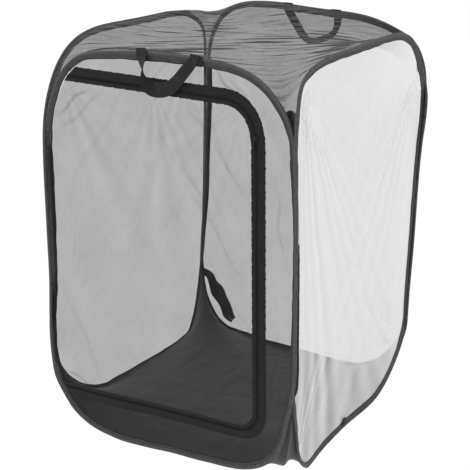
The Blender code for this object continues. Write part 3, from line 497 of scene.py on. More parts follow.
def hoopLine(side):
    # the outer edge of a hoop in its own plane: four superellipse corners joined by straight runs
    s = hoopSettings[side]
    (t0a, t0u), (t1a, t1u), (f1a, f1u), (f0a, f0u) = s["corners"]
    x, z = quarter(f1a, f1u, s["footPower"])
    parts = [np.column_stack((half - f1a + x, f1u - z))[::-1]]
    x, z = quarter(t1a, t1u, topPower)
    parts.append(np.column_stack((half - t1a + x, topHeight - t1u + z)))
    x, z = quarter(t0a, t0u, topPower)
    parts.append(np.column_stack((t0a - half - x, topHeight - t0u + z))[::-1])
    x, z = quarter(f0a, f0u, s["footPower"])
    parts.append(np.column_stack((f0a - half - x, f0u - z)))
    line = resample(np.vstack(parts), hoopSteps, closed=True)
    line[:, 1] += s["bow"] * (1 - (line[:, 0] / half) ** 2) * np.clip(2 * line[:, 1] / topHeight - 1, 0, None)
    share = np.arange(hoopSteps) / hoopSteps
    line = line - inward(line) * roundTable(s["outs"], share)[:, None]
    line[:, 1] = np.maximum(line[:, 1], -footDrop)
    return line


def inward(line):
    # unit normals of a closed anticlockwise line, pointing in
    along = unit(np.roll(line, -1, axis=0) - np.roll(line, 1, axis=0))
    return np.column_stack((-along[:, 1], along[:, 0]))


wallPlanes = {
    "front": (np.array((1.0, 0, 0)), np.array((0, -1.0, 0)), np.array((0, frontY, 0)), "front_wall"),
    "back": (np.array((1.0, 0, 0)), np.array((0, 1.0, 0)), np.array((0, backY, 0)), "back_wall"),
    "left": (np.array((0, 1.0, 0)), np.array((-1.0, 0, 0)), np.array((leftX, 0, 0)), "left_wall"),
    "right": (np.array((0, 1.0, 0)), np.array((1.0, 0, 0)), np.array((rightX, 0, 0)), "right_wall"),
}
upward = np.array((0, 0, 1.0))


def onWall(side, u, z, out=0.0):
    # a place on a wall from its own u, z and distance out; the foot is pulled in by a flat-topped bell
    along, outDir, origin, _ = wallPlanes[side]
    depth, middle, reach, rise = hoopSettings[side]["lean"]
    out = out + depth * np.exp(-((u - middle) / reach) ** 4 - (z / rise) ** 2)
    u, z, out = np.broadcast_arrays(u, z, out)
    return origin + u[..., None] * along + z[..., None] * upward + out[..., None] * outDir


hoops = {side: hoopLine(side) for side in hoopSettings}


def edgeAt(side, inset):
    # the hoop's line moved in by inset
    return hoops[side] + inward(hoops[side]) * inset


tapeSettings = {"bulge": 0.0033, "hemHalf": 0.0010, "width": 0.0170, "flutter": 0.0009, "crawl": 0.0008}


def bindingTapes():
    # the tape's section: a round bulge over the wire and a flat hem, carried round the hoop's outer edge
    s = tapeSettings
    turn = np.radians(np.linspace(28, 332, 19))
    bulge = np.column_stack((s["bulge"] * (1 + np.cos(turn)), s["bulge"] * np.sin(turn)))
    reach = np.array((0.0088, 0.0108, 0.0128, 0.0146, 0.0160, 0.0168))
    thick = s["hemHalf"] * np.array((1.15, 1.0, 0.95, 1.0, 1.0, 0.75))
    top = np.column_stack((reach, thick))[::-1]
    tip = np.array(((s["width"] + 0.0002, 0.0),))
    profile = np.vstack((tip, top, bulge, top[::-1] * (1, -1), tip))
    hem = np.clip(profile[:, 0] / s["width"], 0, 1)
    for number, side in enumerate(hoopSettings):
        line = hoops[side]
        along, outDir, _, body = wallPlanes[side]
        closed = np.vstack((line, line[:1]))
        normals = inward(line)
        normals = np.vstack((normals, normals[:1]))
        share = np.linspace(0, 1, hoopSteps + 1)
        path = onWall(side, closed[:, 0], closed[:, 1])
        across = normals[:, :1] * along + normals[:, 1:] * upward
        rng = np.random.default_rng(40 + number)
        wobble = sum(np.sin(tau * k * share + rng.uniform(0, tau)) * rng.uniform(0.3, 1)
                     for k in (7, 13, 22, 37, 61)) / 2.2
        width = wavesAlong(rng, share, (5, 11, 29, 53)) / 2.4
        shape = np.repeat(profile[None], hoopSteps + 1, axis=0)
        loose = np.clip((profile[:, 0] - 0.006) / 0.011, 0, 1)
        shape[..., 1] += s["flutter"] * wobble[:, None] * loose
        wide = roundTable(hoopSettings[side]["widths"], share)
        shape[..., 0] += ((wide - s["width"])[:, None] + s["crawl"] * width[:, None]) * loose
        points = swept(path, across, np.broadcast_to(outDir, path.shape), shape)
        obj = sheetMesh(side + "Binding", points, sweptMap(path, profile), {"hem": hem[None]}, weld=True)
        dress(obj, body, tapeFinish, [side + "_binding"])


wireSettings = {"wire": 0.0015, "sleeve": 0.0024, "halfSleeve": 0.017, "crimpAt": 0.009, "crimpDepth": 0.00028,
                "crimpReach": 0.0016, "lip": 0.0002, "lipAt": 0.0158}


def hoopWires():
    # the wire in the tape's bulge, its ends apart inside a crimped sleeve
    w = wireSettings
    for side in hoopSettings:
        line = edgeAt(side, tapeSettings["bulge"])
        middle = 0.0 if side != "right" else -0.03
        start = int(np.argmin(np.abs(line[:, 0] - middle) + 10 * np.clip(line[:, 1] - 0.01, 0, None)))
        order = np.roll(np.arange(hoopSteps), -start)[1:]
        path = onWall(side, line[order, 0], line[order, 1])
        body = wallPlanes[side][3]
        tube(side + "Wire", path, w["wire"], body, steel, [side + "_hoop_wire"], sides=10)
        x = np.linspace(-w["halfSleeve"], w["halfSleeve"], 61)
        crimp = (w["sleeve"] - w["crimpDepth"] * np.exp(-((np.abs(x) - w["crimpAt"]) / w["crimpReach"]) ** 2)
                 - w["lip"] * smoothStep(np.abs(x), w["lipAt"], w["halfSleeve"]))
        foot = line[(line[:, 1] < 0.2) & (np.abs(line[:, 0] - middle) < 0.06)]
        foot = foot[np.argsort(foot[:, 0])]
        sleeve = onWall(side, middle + x, np.interp(middle + x, foot[:, 0], foot[:, 1]))
        tube(side + "Sleeve", sleeve, crimp, body, sleeveMetal, [side + "_wire_ferrule"], sides=16)


bindingTapes()
hoopWires()


# Walls: each is spokes from a middle point out to the hoop's hem, so its edge follows the hem exactly

def spokes(outline, rings, middle):
    share = np.linspace(0, 1, rings)[:, None] ** 0.85
    closed = np.vstack((outline, outline[:1]))
    flat = middle + share[..., None] * (closed[None] - middle)
    return flat, flat[..., 0], flat[..., 1], share


def fanFolds(u, z, centre, facing, opening, count, seed, reach):
    # creases that fan out from a corner: a comb over the angle, fading with distance
    du, dz = u - centre[0], z - centre[1]
    far = np.hypot(du, dz)
    angle = (np.arctan2(dz, du) - facing + math.pi) % tau - math.pi
    rng = np.random.default_rng(seed)
    comb = sum(np.sin(angle * k + rng.uniform(0, tau)) for k in rng.uniform(count * 0.6, count * 1.5, 5)) / 2.2
    return comb * np.exp(-(angle / opening) ** 2) * np.exp(-far / reach) * smoothStep(far, 0.0, 0.04)


def fannedFrom(u, z, fans):
    return sum(fanFolds(u, z, *fan) for fan in fans)


def creaseLines(u, z, lines):
    # thin straight creases, deepest in their middle: from u, from z, to u, to z and half width in millimetres, depth
    total = np.zeros(np.shape(u))
    for *places, depth in lines:
        u0, z0, u1, z1, wide = (place / 1000 for place in places)
        long = math.hypot(u1 - u0, z1 - z0)
        du, dz = (u1 - u0) / long, (z1 - z0) / long
        along = ((u - u0) * du + (z - z0) * dz) / long
        off = (z - z0) * du - (u - u0) * dz
        off = off + 0.004 * np.sin(along * 7 + u0 * 40)
        total += depth * np.exp(-(off / wide) ** 2) * smoothStep(along, -0.1, 0.25) * (1 - smoothStep(along, 0.7, 1.1))
    return total


doorCreases = ((-183, 768, -268, 703, 2.2, 0.3), (-150, 760, -262, 672, 3, 0.14), (-275, 116, -184, 89, 2.2, 0.25),
               (60, 776, 110, 720, 3, 0.12), (90, 770, 190, 600, 4, 0.08), (20, 772, 170, 500, 6, 0.05),
               (50, 770, 185, 625, 3.5, 0.09), (0, 700, 120, 550, 3.5, 0.06), (60, 600, 200, 430, 3.5, 0.07),
               (100, 470, 210, 330, 3.5, 0.06), (-100, 762, -235, 560, 5, 0.05), (200, 300, 120, 110, 5, 0.06),
               (-260, 300, -150, 100, 6, 0.05))
frontCreases = ((121, 839, 170, 793, 2.2, 0.28), (150, 833, 196, 785, 3, 0.12), (-230, 812, -262, 786, 3, 0.2),
                (268, 300, 262, 160, 3, 0.1), (262, 620, 276, 500, 3, 0.1))

# fans: centre, facing, opening, count, seed and reach of each; depth of the creases and of the soft belly in metres
wallSettings = {
    "back": {"fans": (((-0.27, 0.84), -0.9, 0.6, 26, 1, 0.30), ((0.26, 0.84), -2.2, 0.6, 26, 2, 0.30)),
             "belly": 0.003, "depth": 0.0012},
    "left": {"fans": (((-0.26, 0.80), -0.9, 0.6, 26, 3, 0.30), ((0.26, 0.84), -2.2, 0.6, 26, 4, 0.30)),
             "belly": 0.003, "depth": 0.0012},
    "right": {"fans": (((-0.29, 0.84), -1.25, 0.42, 60, 5, 0.50), ((0.27, 0.84), -2.0, 0.5, 50, 6, 0.34),
                       ((-0.27, 0.00), 1.25, 0.40, 34, 7, 0.13), ((0.22, 0.10), 2.2, 0.5, 34, 8, 0.12)),
              "belly": 0.004, "depth": 0.0030},
}
unpatched = np.zeros((1, 1))


def wallSheets():
    for number, (side, s) in enumerate(wallSettings.items()):
        flat, u, z, share = spokes(edgeAt(side, 0.006)[::2], 96, np.array((0.0, 0.44)))
        folds = fannedFrom(u, z, s["fans"])
        soft = ripples(u, z, 90 + number, 7, 0.16)
        fine = ripples(u, z * 0.35, 70 + number, 8, 0.014, spread=1.2)
        edge = 1 - smoothStep(share, 0.93, 1.0)
        out = s["depth"] * folds * edge + (s["belly"] * soft * 0.5 + 0.0004 * fine) * (1 - share ** 3)
        isFilm = side == "right"
        # on the film, fold is painted highlight and shade along its creases; on the nets it sets how much thread shows
        fold = (0.36 if isFilm else 0.05) * folds + (0.014 if isFilm else 0.007) * fine
        if isFilm:
            # whiter at the rear and at the top
            fold += 0.20 * smoothStep(u, 0.14, 0.27) + 0.25 * smoothStep(z, 0.68, 0.80) * smoothStep(u, -0.05, 0.15)
        name = "filmWall" if isFilm else side + "Net"
        points = onWall(side, u, z, out)
        if isFilm:
            points, u, z, fold = (part[:, ::-1] for part in (points, u, z, fold))
        obj = sheetMesh(name, points, np.stack((u, z), -1), {"fold": fold, "patch": unpatched}, weld=True)
        if isFilm:
            dress(obj, "right_wall", filmFinish, ["right_film_wall"])
        else:
            dress(obj, wallPlanes[side][3], wallNet, [side + "_mesh_wall"])


print("walls")
wallSheets()

# The front: the tooth line runs from the hinge side along the top, down the free side and back along the foot
doorSettings = {"toothX": 0.223, "top": 0.788, "foot": 0.090, "hingeX": -0.278, "sideLean": 0.024, "footLean": 0.034,
                "topCorner": (0.075, 0.0907), "footCorner": (0.055, 0.0628), "power": 2.4,
                "outer": 0.020, "inner": -0.011, "lap": 0.011, "netInner": -0.006}
hemInset = 0.0175
frontFans = (((0.235, 0.74), 0.6, 0.9, 20, 11, 0.08), ((-0.02, 0.81), 1.2, 0.9, 14, 12, 0.1))
doorFans = (((0.18, 0.78), -2.2, 0.6, 26, 21, 0.22), ((-0.24, 0.77), -0.8, 0.6, 22, 22, 0.18),
            ((-0.27, 0.10), 0.8, 0.6, 20, 23, 0.14), ((-0.02, 0.79), -1.2, 0.7, 20, 24, 0.26))


def leaned(x, z):
    d = doorSettings
    free = np.clip((x - d["hingeX"]) / (d["toothX"] - d["hingeX"]), 0, 1)
    low = np.clip((d["top"] - z) / (d["top"] - d["foot"]), 0, 1)
    return x + d["sideLean"] * free * (low - 0.5), z + d["footLean"] * low * (free - 0.5)


def hingeSideX(z, inset):
    line = edgeAt("front", inset)
    left = line[line[:, 0] < 0]
    left = left[np.argsort(left[:, 1])]
    return np.interp(z, left[:, 1], left[:, 0])


def toothLine(out, count, inset=hemInset):
    # the tooth line moved out by out, from the hinge side's top round to its foot
    d = doorSettings
    across, up = d["topCorner"][0] + out, d["topCorner"][1] + out
    x, z = quarter(across, up, d["power"])
    first = np.column_stack((d["toothX"] + out - across + x, d["top"] + out - up + z))[::-1]
    across, up = d["footCorner"][0] + out, d["footCorner"][1] + out
    x, z = quarter(across, up, d["power"])
    second = np.column_stack((d["toothX"] + out - across + x, d["foot"] - out + up - z))
    line = np.vstack((first, second))
    line = np.column_stack(leaned(line[:, 0], line[:, 1]))
    top, foot = d["top"] + out, leaned(d["hingeX"], d["foot"])[1] - out
    ends = np.array(((hingeSideX(top, inset), top),)), np.array(((hingeSideX(foot, inset), foot),))
    return resample(np.vstack((ends[0], line, ends[1])), count)


def frontSurround():
    # netting lofted from just under the zipper's outer edge to the hoop's hem
    inner = toothLine(doorSettings["outer"] - doorSettings["lap"], 500, 0.010)
    line = edgeAt("front", 0.008)
    keep = ~((line[:, 0] < 0) & (line[:, 1] < inner[0, 1]) & (line[:, 1] > inner[-1, 1]))
    start = int(np.flatnonzero(~keep)[-1]) + 1
    outer = np.roll(line, -start, axis=0)
    outer = outer[np.roll(keep, -start)]
    outer = resample(outer[::-1], 500)
    share = np.linspace(0, 1, 40)[:, None, None]
    flat = inner[None] * (1 - share) + outer[None] * share
    u, z = flat[..., 0], flat[..., 1]
    folds = fannedFrom(u, z, frontFans)
    soft = ripples(u, z, 13, 6, 0.12)
    hold = np.sin(math.pi * share[..., 0])
    points = onWall("front", u, z, hold * (0.0012 * soft + 0.0012 * folds))
    fold = 0.05 * folds + creaseLines(u, z, frontCreases)
    obj = sheetMesh("frontNet", points, np.stack((u, z), -1), {"fold": fold, "patch": unpatched})
    dress(obj, "front_wall", wallNet, ["front_mesh_surround"])


def doorNet():
    inner = toothLine(doorSettings["netInner"], 420)
    zs = np.linspace(inner[-1, 1], inner[0, 1], 90)[1:-1]
    hinge = np.column_stack((hingeSideX(zs, hemInset), zs))
    outline = resample(np.vstack((inner, hinge))[::-1], 420, closed=True)
    flat, u, z, share = spokes(outline, 90, np.array((-0.02, 0.43)))
    folds = fannedFrom(u, z, doorFans)
    soft = ripples(u, z, 25, 7, 0.18)
    out = (0.0022 * soft + 0.0010 * folds) * (1 - share ** 4)
    fold = 0.05 * folds + creaseLines(u, z, doorCreases)
    points, uv, fold = (part[:, ::-1] for part in (onWall("front", u, z, out), flat, fold))
    obj = sheetMesh("doorNet", points, uv, {"fold": fold, "patch": unpatched}, weld=True)
    dress(obj, "door", wallNet, ["door_mesh"])


zipSettings = {"y": 0.00095, "thick": 0.0008, "row": -0.0001, "tooth": 0.0030, "pitch": 0.0022, "rise": 0.0007,
               "wire": (0.0008, 0.0009), "pucker": 0.0004, "crawl": 0.0006}


def zipTape(name, near, far, body, cad, seed):
    # one half of the zipper's cloth: a flat strip with a rolled edge, puckered along the sewing
    s = zipSettings
    steps = 900
    a, b = toothLine(near, steps), toothLine(far, steps)
    share = np.array((0.0, 0.0, 0.03, 0.12, 0.3, 0.5, 0.7, 0.88, 0.97, 1.0, 1.0))
    lift = np.array((-0.4, 0.4, 0.5, 0.5, 0.5, 0.5, 0.5, 0.5, 0.6, 0.5, -0.4)) * s["thick"]
    back = np.array((0.97, 0.5, 0.03, 0.0))
    share = np.concatenate((share, back))
    lift = np.concatenate((lift, np.array((-0.5, -0.5, -0.5, -0.4)) * s["thick"]))
    at = np.linspace(0, 1, steps)
    rng = np.random.default_rng(seed)
    pucker = wavesAlong(rng, at, (31, 47, 83, 140, 210)) / 2.2
    crawl = wavesAlong(rng, at, (60, 110, 170, 260)) / 2.0
    width = far - near
    reach = share[None] + (s["crawl"] * crawl / abs(width))[:, None] * (share[None] > 0.9)
    flat = a[:, None] * (1 - reach[..., None]) + b[:, None] * reach[..., None]
    out = s["y"] + lift[None] + s["pucker"] * pucker[:, None] * smoothStep(share[None], 0.2, 1.0)
    points = onWall("front", flat[..., 0], flat[..., 1], out)
    obj = sheetMesh(name, points, lengthMap(stepsAlong(a), share * abs(width)), weld=True, caps=True)
    return dress(obj, body, zipCloth, [cad])


def teethRow(name, ofDoor, body, cad):
    # one row of the coil: a bent bead repeated every pitch, its beads leaning across the tooth line
    s = zipSettings
    hand = -1 if ofDoor else 1
    middle = toothLine(hand * (s["row"] + s["tooth"] / 2), 2400)
    at = stepsAlong(middle)
    count = int(at[-1] / s["pitch"])
    where = (np.arange(count) + (0.5 if ofDoor else 0.0) + 0.25) * at[-1] / count
    where = where[where < at[-1]]
    place = columnsAt(where, at, middle)
    ahead = unit(columnsAt(np.clip(where + 0.001, 0, at[-1]), at, middle) - place)
    side = np.column_stack((ahead[:, 1], -ahead[:, 0]))
    t, r = np.meshgrid(np.linspace(0, tau, 7), np.linspace(-1, 1, 5), indexing="ij")
    size = np.sqrt(np.clip(1 - r ** 2, 0.0, 1)) * 0.9 + 0.1
    flatter, taller = s["wire"]
    local = np.stack((flatter * np.cos(t) * size, r * s["tooth"] * 0.5, taller * np.sin(t) * size), -1)
    one = local.reshape(-1, 3)
    flat = place[:, None] + ahead[:, None] * one[None, :, :1] - side[:, None] * one[None, :, 1:2]
    points = onWall("front", flat[..., 0], flat[..., 1], s["y"] + s["rise"] + one[None, :, 2])
    quads = gridQuads(*local.shape[:2])
    quads = (quads[None] + (np.arange(len(place)) * len(one))[:, None, None]).reshape(-1, 4)
    mesh = bpy.data.meshes.new(name)
    mesh.from_pydata(points.reshape(-1, 3).tolist(), [], quads.tolist())
    weldMesh(mesh, 2e-6, True)
    mesh.shade_smooth()
    obj = linked(name, mesh)
    return dress(obj, body, nylon, [cad])


print("door and zipper")
frontSurround()
zipTape("doorTape", 0.0, doorSettings["inner"], "door", "zip_tape_door", 31)
zipTape("frontTape", 0.0, doorSettings["outer"], "front_wall", "zip_tape_front", 32)
teethRow("doorTeeth", True, "door", "zip_teeth_door")
teethRow("frontTeeth", False, "front_wall", "zip_teeth_front")
doorNet()


# Roof and floor: four hoop lines filled by relaxing a net until each knot lies amid its four neighbours
clothSettings = {"knots": 61, "rounds": 2600, "tuck": 0.0022, "seat": 0.0030, "roofSag": 0.0086, "floorSag": 0.043,
                 "roofKnots": 260, "floorKnots": 180, "floorSkin": 0.0012, "fullReach": 0.09}


def hoopRun(side, upper, levels, seat):
    # a hoop's line moved in by seat, between two corner levels, over the top or along the foot, from u low to u high
    line = edgeAt(side, seat)
    u, z = line[:, 0], line[:, 1]
    level = np.where(u < 0, levels[0], levels[1])
    keep = (z > level) if upper else (z < level)
    order = np.flatnonzero(keep)
    jump = np.flatnonzero(np.diff(order) > 1)
    if len(jump):
        order = np.concatenate((order[jump[0] + 1:], order[:jump[0] + 1]))
    run = np.column_stack((u[order], z[order]))
    if run[0, 0] > run[-1, 0]:
        run = run[::-1]
    return np.vstack(((seat - half, levels[0]), run, (half - seat, levels[1])))


def letDown(count):
    # how far the floor's front edge may hang below the ground, with the front hoop's foot
    s = np.linspace(0, 1, count)
    return footDrop * np.exp(-(s[None] / 0.07) ** 2) * (1 - smoothStep(s[:, None], 0.5, 0.75))


def edgeShare(count):
    # how far each knot lies from the nearest edge of its net
    near = np.minimum(np.linspace(0, 1, count), np.linspace(1, 0, count))
    return np.minimum(near[:, None], near[None])


def stretched(upper):
    # the net between the four hoops, over the top or along the foot
    c = clothSettings
    seat, load = c["seat"], c["roofSag"] if upper else c["floorSag"]
    starts = {}
    for side, s in hoopSettings.items():
        (_, t0), (_, t1), (_, f1), (_, f0) = s["corners"]
        starts[side] = (topHeight - t0, topHeight - t1) if upper else (f0, f1)
    pick = min if upper else max
    corner = {"fl": pick(starts["front"][0], starts["left"][0]), "fr": pick(starts["front"][1], starts["right"][0]),
              "bl": pick(starts["back"][0], starts["left"][1]), "br": pick(starts["back"][1], starts["right"][1])}
    ends = {"front": ("fl", "fr"), "back": ("bl", "br"), "left": ("fl", "bl"), "right": ("fr", "br")}
    sides = {}
    n = c["knots"]
    for side, (a, b) in ends.items():
        run = resample(hoopRun(side, upper, (corner[a], corner[b]), seat), n)
        sides[side] = onWall(side, run[:, 0], run[:, 1], -c["tuck"])
    for side, index, other, otherIndex in (("left", 0, "front", 0), ("left", -1, "back", 0),
                                           ("right", 0, "front", -1), ("right", -1, "back", -1)):
        joined = (sides[side][index] + sides[other][otherIndex]) / 2
        sides[side][index] = joined
        sides[other][otherIndex] = joined
    s = np.linspace(0, 1, n)
    i, j = s[:, None, None], s[None, :, None]
    front, back = sides["front"], sides["back"]
    net = (front[:, None] * (1 - j) + back[:, None] * j + sides["left"][None] * (1 - i) + sides["right"][None] * i
           - front[0] * (1 - i) * (1 - j) - front[-1] * i * (1 - j) - back[0] * (1 - i) * j - back[-1] * i * j)
    lowest = seat - (0.0 if upper else letDown(n))
    for _ in range(c["rounds"]):
        net[1:-1, 1:-1] = (net[:-2, 1:-1] + net[2:, 1:-1] + net[1:-1, :-2] + net[1:-1, 2:]) / 4
        net[1:-1, 1:-1, 2] -= load / (n - 1) ** 2
        net[..., 2] = np.maximum(net[..., 2], lowest)
    return net


def pouched(net, corner, push):
    # a fuller corner: a hump that is nought on both edges and highest at its reach from each of them
    reach = clothSettings["fullReach"]
    share = np.linspace(0, 1, len(net))
    a = (share if corner[0] == 0 else 1 - share)[:, None]
    b = (share if corner[1] == 0 else 1 - share)[None]
    hump = a * b / reach ** 2 * np.exp(2 - (a + b) / reach)
    return net + hump[..., None] * np.array(push)


def finer(net, count):
    # the same net read at more knots, with smooth curves between the old ones
    def along(values):
        n = len(values)
        where = np.linspace(0, n - 1, count)
        k = np.clip(where.astype(int), 0, n - 2)
        t = (where - k).reshape((-1,) + (1,) * (values.ndim - 1))
        slope = np.gradient(values, axis=0)
        return eased(t, values[k], values[k + 1], slope[k], slope[k + 1])
    return along(along(net).swapaxes(0, 1)).swapaxes(0, 1)


def netNormals(net):
    return unit(np.cross(np.gradient(net, axis=0), np.gradient(net, axis=1)))


def clothMap(net):
    # metres along the middle lines, so the weave keeps its size
    return lengthMap(stepsAlong(net.mean(1)), stepsAlong(net.mean(0)))


def clothSheet(obj):
    return obj


def roofCloth():
    count = clothSettings["roofKnots"]
    net = pouched(stretched(True), (0, 1), (0.0, 0.0, 0.090))
    net = finer(pouched(net, (0, 0), (0.0, 0.0, 0.055)), count)
    x, y = net[..., 0], net[..., 1]
    normal = netNormals(net)
    flatness = np.abs(normal[..., 2])
    calm = smoothStep(edgeShare(count), 0.0, 0.08)
    bend = 0.012 * ripples(x, y, 51, 5, 0.13)
    broad = ripples(x + bend, y + bend, 52, 8, 0.030, heading=2.12, spread=0.26)
    fine = ripples(x + bend, y + bend, 53, 10, 0.0115, heading=2.12, spread=0.24)
    ridge = 1 - np.abs(fine) / 1.2
    height = calm * (0.0016 * broad + 0.0006 * fine)
    points = net + normal * height[..., None]
    top = smoothStep(flatness, 0.35, 0.85)
    # the creases' slope across their heading, for knots 2.3 mm apart
    lean = (0.52 * np.gradient(height, axis=0) - 0.85 * np.gradient(height, axis=1)) / 0.0023
    fold = top * (0.16 + 0.42 * np.clip(lean, -0.20, 0.20) + 0.13 * np.clip(ridge, 0, 1) ** 4) + (1 - top) * 0.02
    # dark doubled patches at the four corners
    away = np.stack([np.linalg.norm(net - net[a, b], axis=-1) for a in (0, -1) for b in (0, -1)])
    reach = np.array((0.030, 0.050, 0.148, 0.040))[:, None, None]
    patch = ((away + 0.004 * ripples(x, net[..., 2], 54, 4, 0.05)) < reach).any(0).astype(float)
    obj = sheetMesh("roofNet", points, clothMap(net), {"fold": fold, "patch": patch})
    dress(obj, "back_wall", roofNet, ["roof_mesh"])
    return clothSheet(obj)


def floorCloth():
    count = clothSettings["floorKnots"]
    net = finer(pouched(stretched(False), (1, 0), (0.009, -0.009, -0.115)), count)
    foot = clothSettings["floorSkin"] - letDown(count)
    net[..., 2] = np.maximum(net[..., 2], foot)
    x, y, z = net[..., 0], net[..., 1], net[..., 2]
    normal = netNormals(net)
    lying = 1 - smoothStep(z, 0.004, 0.03)
    height = 0.0018 * ripples(x, y, 61, 8, 0.11) + 0.0006 * ripples(x, y, 62, 8, 0.035)
    lift = smoothStep(edgeShare(count), 0.0, 0.08) * (np.abs(height) * lying + height * (1 - lying) * 0.6)
    points = net + normal * lift[..., None]
    points[..., 2] = np.maximum(points[..., 2], foot - 0.0002)
    obj = sheetMesh("floorCloth", points, clothMap(net))
    dress(obj, "back_wall", floorFinish, ["floor_cloth"])
    return clothSheet(obj)


print("roof and floor")
for cloth in (roofCloth(), floorCloth()):
    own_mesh(cloth)

# The pieces of the three walls whose feet lean get meshes of their own; the table gives each wall's fold joint, axis,
# anchor and keep
straightening = {"back": ("right_fold", (0, 1, 0), (0, backY, 0), 0.2),
                 "left": ("left_fold", (1, 0, 0), (leftX, 0, 0), 0.2),
                 "right": ("right_fold", (1, 0, 0), (rightX, 0, 0), 0.12)}
for side, (joint, axis, anchor, keep) in straightening.items():
    for piece in (side + "Binding", side + "Wire", side + "Sleeve", "filmWall" if side == "right" else side + "Net"):
        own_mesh(bpy.data.objects[piece])


# Corner seams: a black strip round the upright run that two hoops share. inset draws it in, and wide scales its
# section on the inner and outer side of the first hoop's line, then of the second's.
cornerSettings = {
    "back_left": {"at": (leftX, backY), "hoops": ("back", "left"), "reach": (0.150, 0.740), "inset": 0.003,
                  "wide": (0.8, 0.4, 0.5, 0.4), "body": "back_wall"},
    "back_right": {"at": (rightX, backY), "hoops": ("back", "right"), "reach": (0.160, 0.720), "inset": 0.006,
                   "wide": (1.0, 0.7, 1.0, 0.7), "body": "back_wall"},
    "front_right": {"at": (rightX, frontY), "hoops": ("front", "right"), "reach": (0.200, 0.700), "inset": 0.011,
                    "wide": (0.8, 0.6, 1.0, 0.6), "body": "right_wall"},
    "front_left": {"at": (leftX, frontY), "hoops": ("front", "left"), "reach": (0.200, 0.640), "inset": 0.009,
                   "wide": (1.0, 0.7, 1.0, 0.7), "body": "left_wall"},
}
# half of the section, mirror-like about its corner, and its thickness, in millimetres
seamSection = ((-7.5, 3.0), (-6.0, 3.6), (-3.5, 3.0), (-0.8, 1.2), (1.2, -0.8), (3.0, -3.5), (3.6, -6.0), (3.0, -7.5))
seamThickness = 0.6


def uprightAt(side, hand, z):
    # where the hoop's outer edge stands at height z on its side of sign hand
    line = hoops[side][hoops[side][:, 0] * hand > 0.12]
    line = line[np.argsort(line[:, 1])]
    return np.interp(z, line[:, 1], line[:, 0])


def cornerSeams():
    # a narrow strip sewn from the bulge of one hoop to the bulge of the next, pinched at its two ends
    for number, (name, s) in enumerate(cornerSettings.items()):
        x, y = s["at"]
        outX, outY = math.copysign(1, x), math.copysign(1, y)
        z = np.linspace(*s["reach"], 200)
        share = np.linspace(0, 1, 200)
        rng = np.random.default_rng(80 + number)
        wobble = wavesAlong(rng, share, (4, 9, 17, 33)) / 2
        pinch = np.prod([np.sin(math.pi * np.clip(end * 14, 0, 0.5)) for end in (share, 1 - share)], axis=0)
        outer = np.array(seamSection) / 1000
        grow = np.array(s["wide"]).reshape(2, 2)
        outer *= np.where(outer < 0, grow[:, 0], grow[:, 1])
        profile = np.vstack((outer, outer[::-1] - seamThickness / 1000, outer[:1]))
        middle = np.array((-0.0020, -0.0020))
        shape = middle + (profile - middle)[None] * (0.35 + pinch * 0.65 + 0.04 * wobble)[:, None, None]
        first, second = s["hoops"]
        path = np.column_stack((uprightAt(first, outX, z) - s["inset"] * outX,
                                uprightAt(second, outY, z) - s["inset"] * outY, z))
        across, out = np.broadcast_to((outX, 0, 0), path.shape), np.broadcast_to((0, outY, 0), path.shape)
        points = swept(path, across, out, shape)
        obj = sheetMesh(name.replace("_", "") + "Seam", points, sweptMap(path, profile), weld=True, caps=True)
        dress(obj, s["body"], tapeDark, [name + "_corner_tape"])


print("seams, loops and small pieces")
cornerSeams()


# Webbing: a flat band carried along a line, turned by a given angle about it
def signedPower(value, power):
    return np.sign(value) * np.abs(value) ** power


def ribbon(name, path, face, width, thick, body, finish, nodes=()):
    # path (n, 3), face (n, 3) is the band's outward side; the section is a flat oval with soft edges
    along = unit(np.gradient(path, axis=0))
    face = unit(face - along * np.sum(face * along, axis=1)[:, None])
    across = np.cross(along, face)
    turn = np.linspace(0, tau, 25)
    section = np.column_stack((signedPower(np.cos(turn), 0.25), signedPower(np.sin(turn), 0.6)))
    width = np.broadcast_to(width, (len(path),))
    shape = section[None] * np.stack((width / 2, np.full(len(path), thick / 2)), -1)[:, None]
    uv = lengthMap(stepsAlong(path), shape[0, :, 0])
    obj = sheetMesh(name, swept(path, across, face, shape), uv, weld=True, caps=True)
    return dress(obj, body, finish, nodes)


# keys: x, distance out and z of the band's middle in millimetres, with its twist in degrees and its width at each
loopSettings = {
    "front": {"out": -1, "y": frontY, "body": "front_loop", "wall": "front_wall", "cad": "front_carrying_loop",
              "keys": ((-45, 0, 864), (-42.5, 0.8, 846), (-36, 1.4, 826), (-29, 2, 809), (-24.5, 3, 797),
                       (-12, 4.5, 788.5), (6, 4.5, 789), (26, 3.5, 796), (42, 2.5, 811), (58, 1.2, 830),
                       (71, 0.4, 845), (78.5, 0, 855), (79.5, -0.2, 864)),
              "turns": (0, 10, 45, 84, 120, 172, 186, 192, 185, 180, 180, 180, 180),
              "wide": (24, 24, 24, 24, 25, 30, 30, 27, 24, 24, 22, 20, 22)},
    "back": {"out": 1, "y": backY, "body": "back_loop", "wall": "back_wall", "cad": "back_carrying_loop",
             "keys": ((-66, 0, 886), (-54, 1, 866), (-36, 2, 841), (-18, 3, 817.5), (-4, 3.5, 808.5),
                      (14, 3.5, 809.5), (38, 3, 817.5), (57, 2, 829), (67, 1, 846), (71, 0, 866), (72, 0, 884)),
             "turns": (0, 0, 4, 12, 20, 16, 10, 30, 40, 20, 0), "wide": (22, 22, 22, 22, 19, 16, 15, 14, 15, 18, 20)},
}


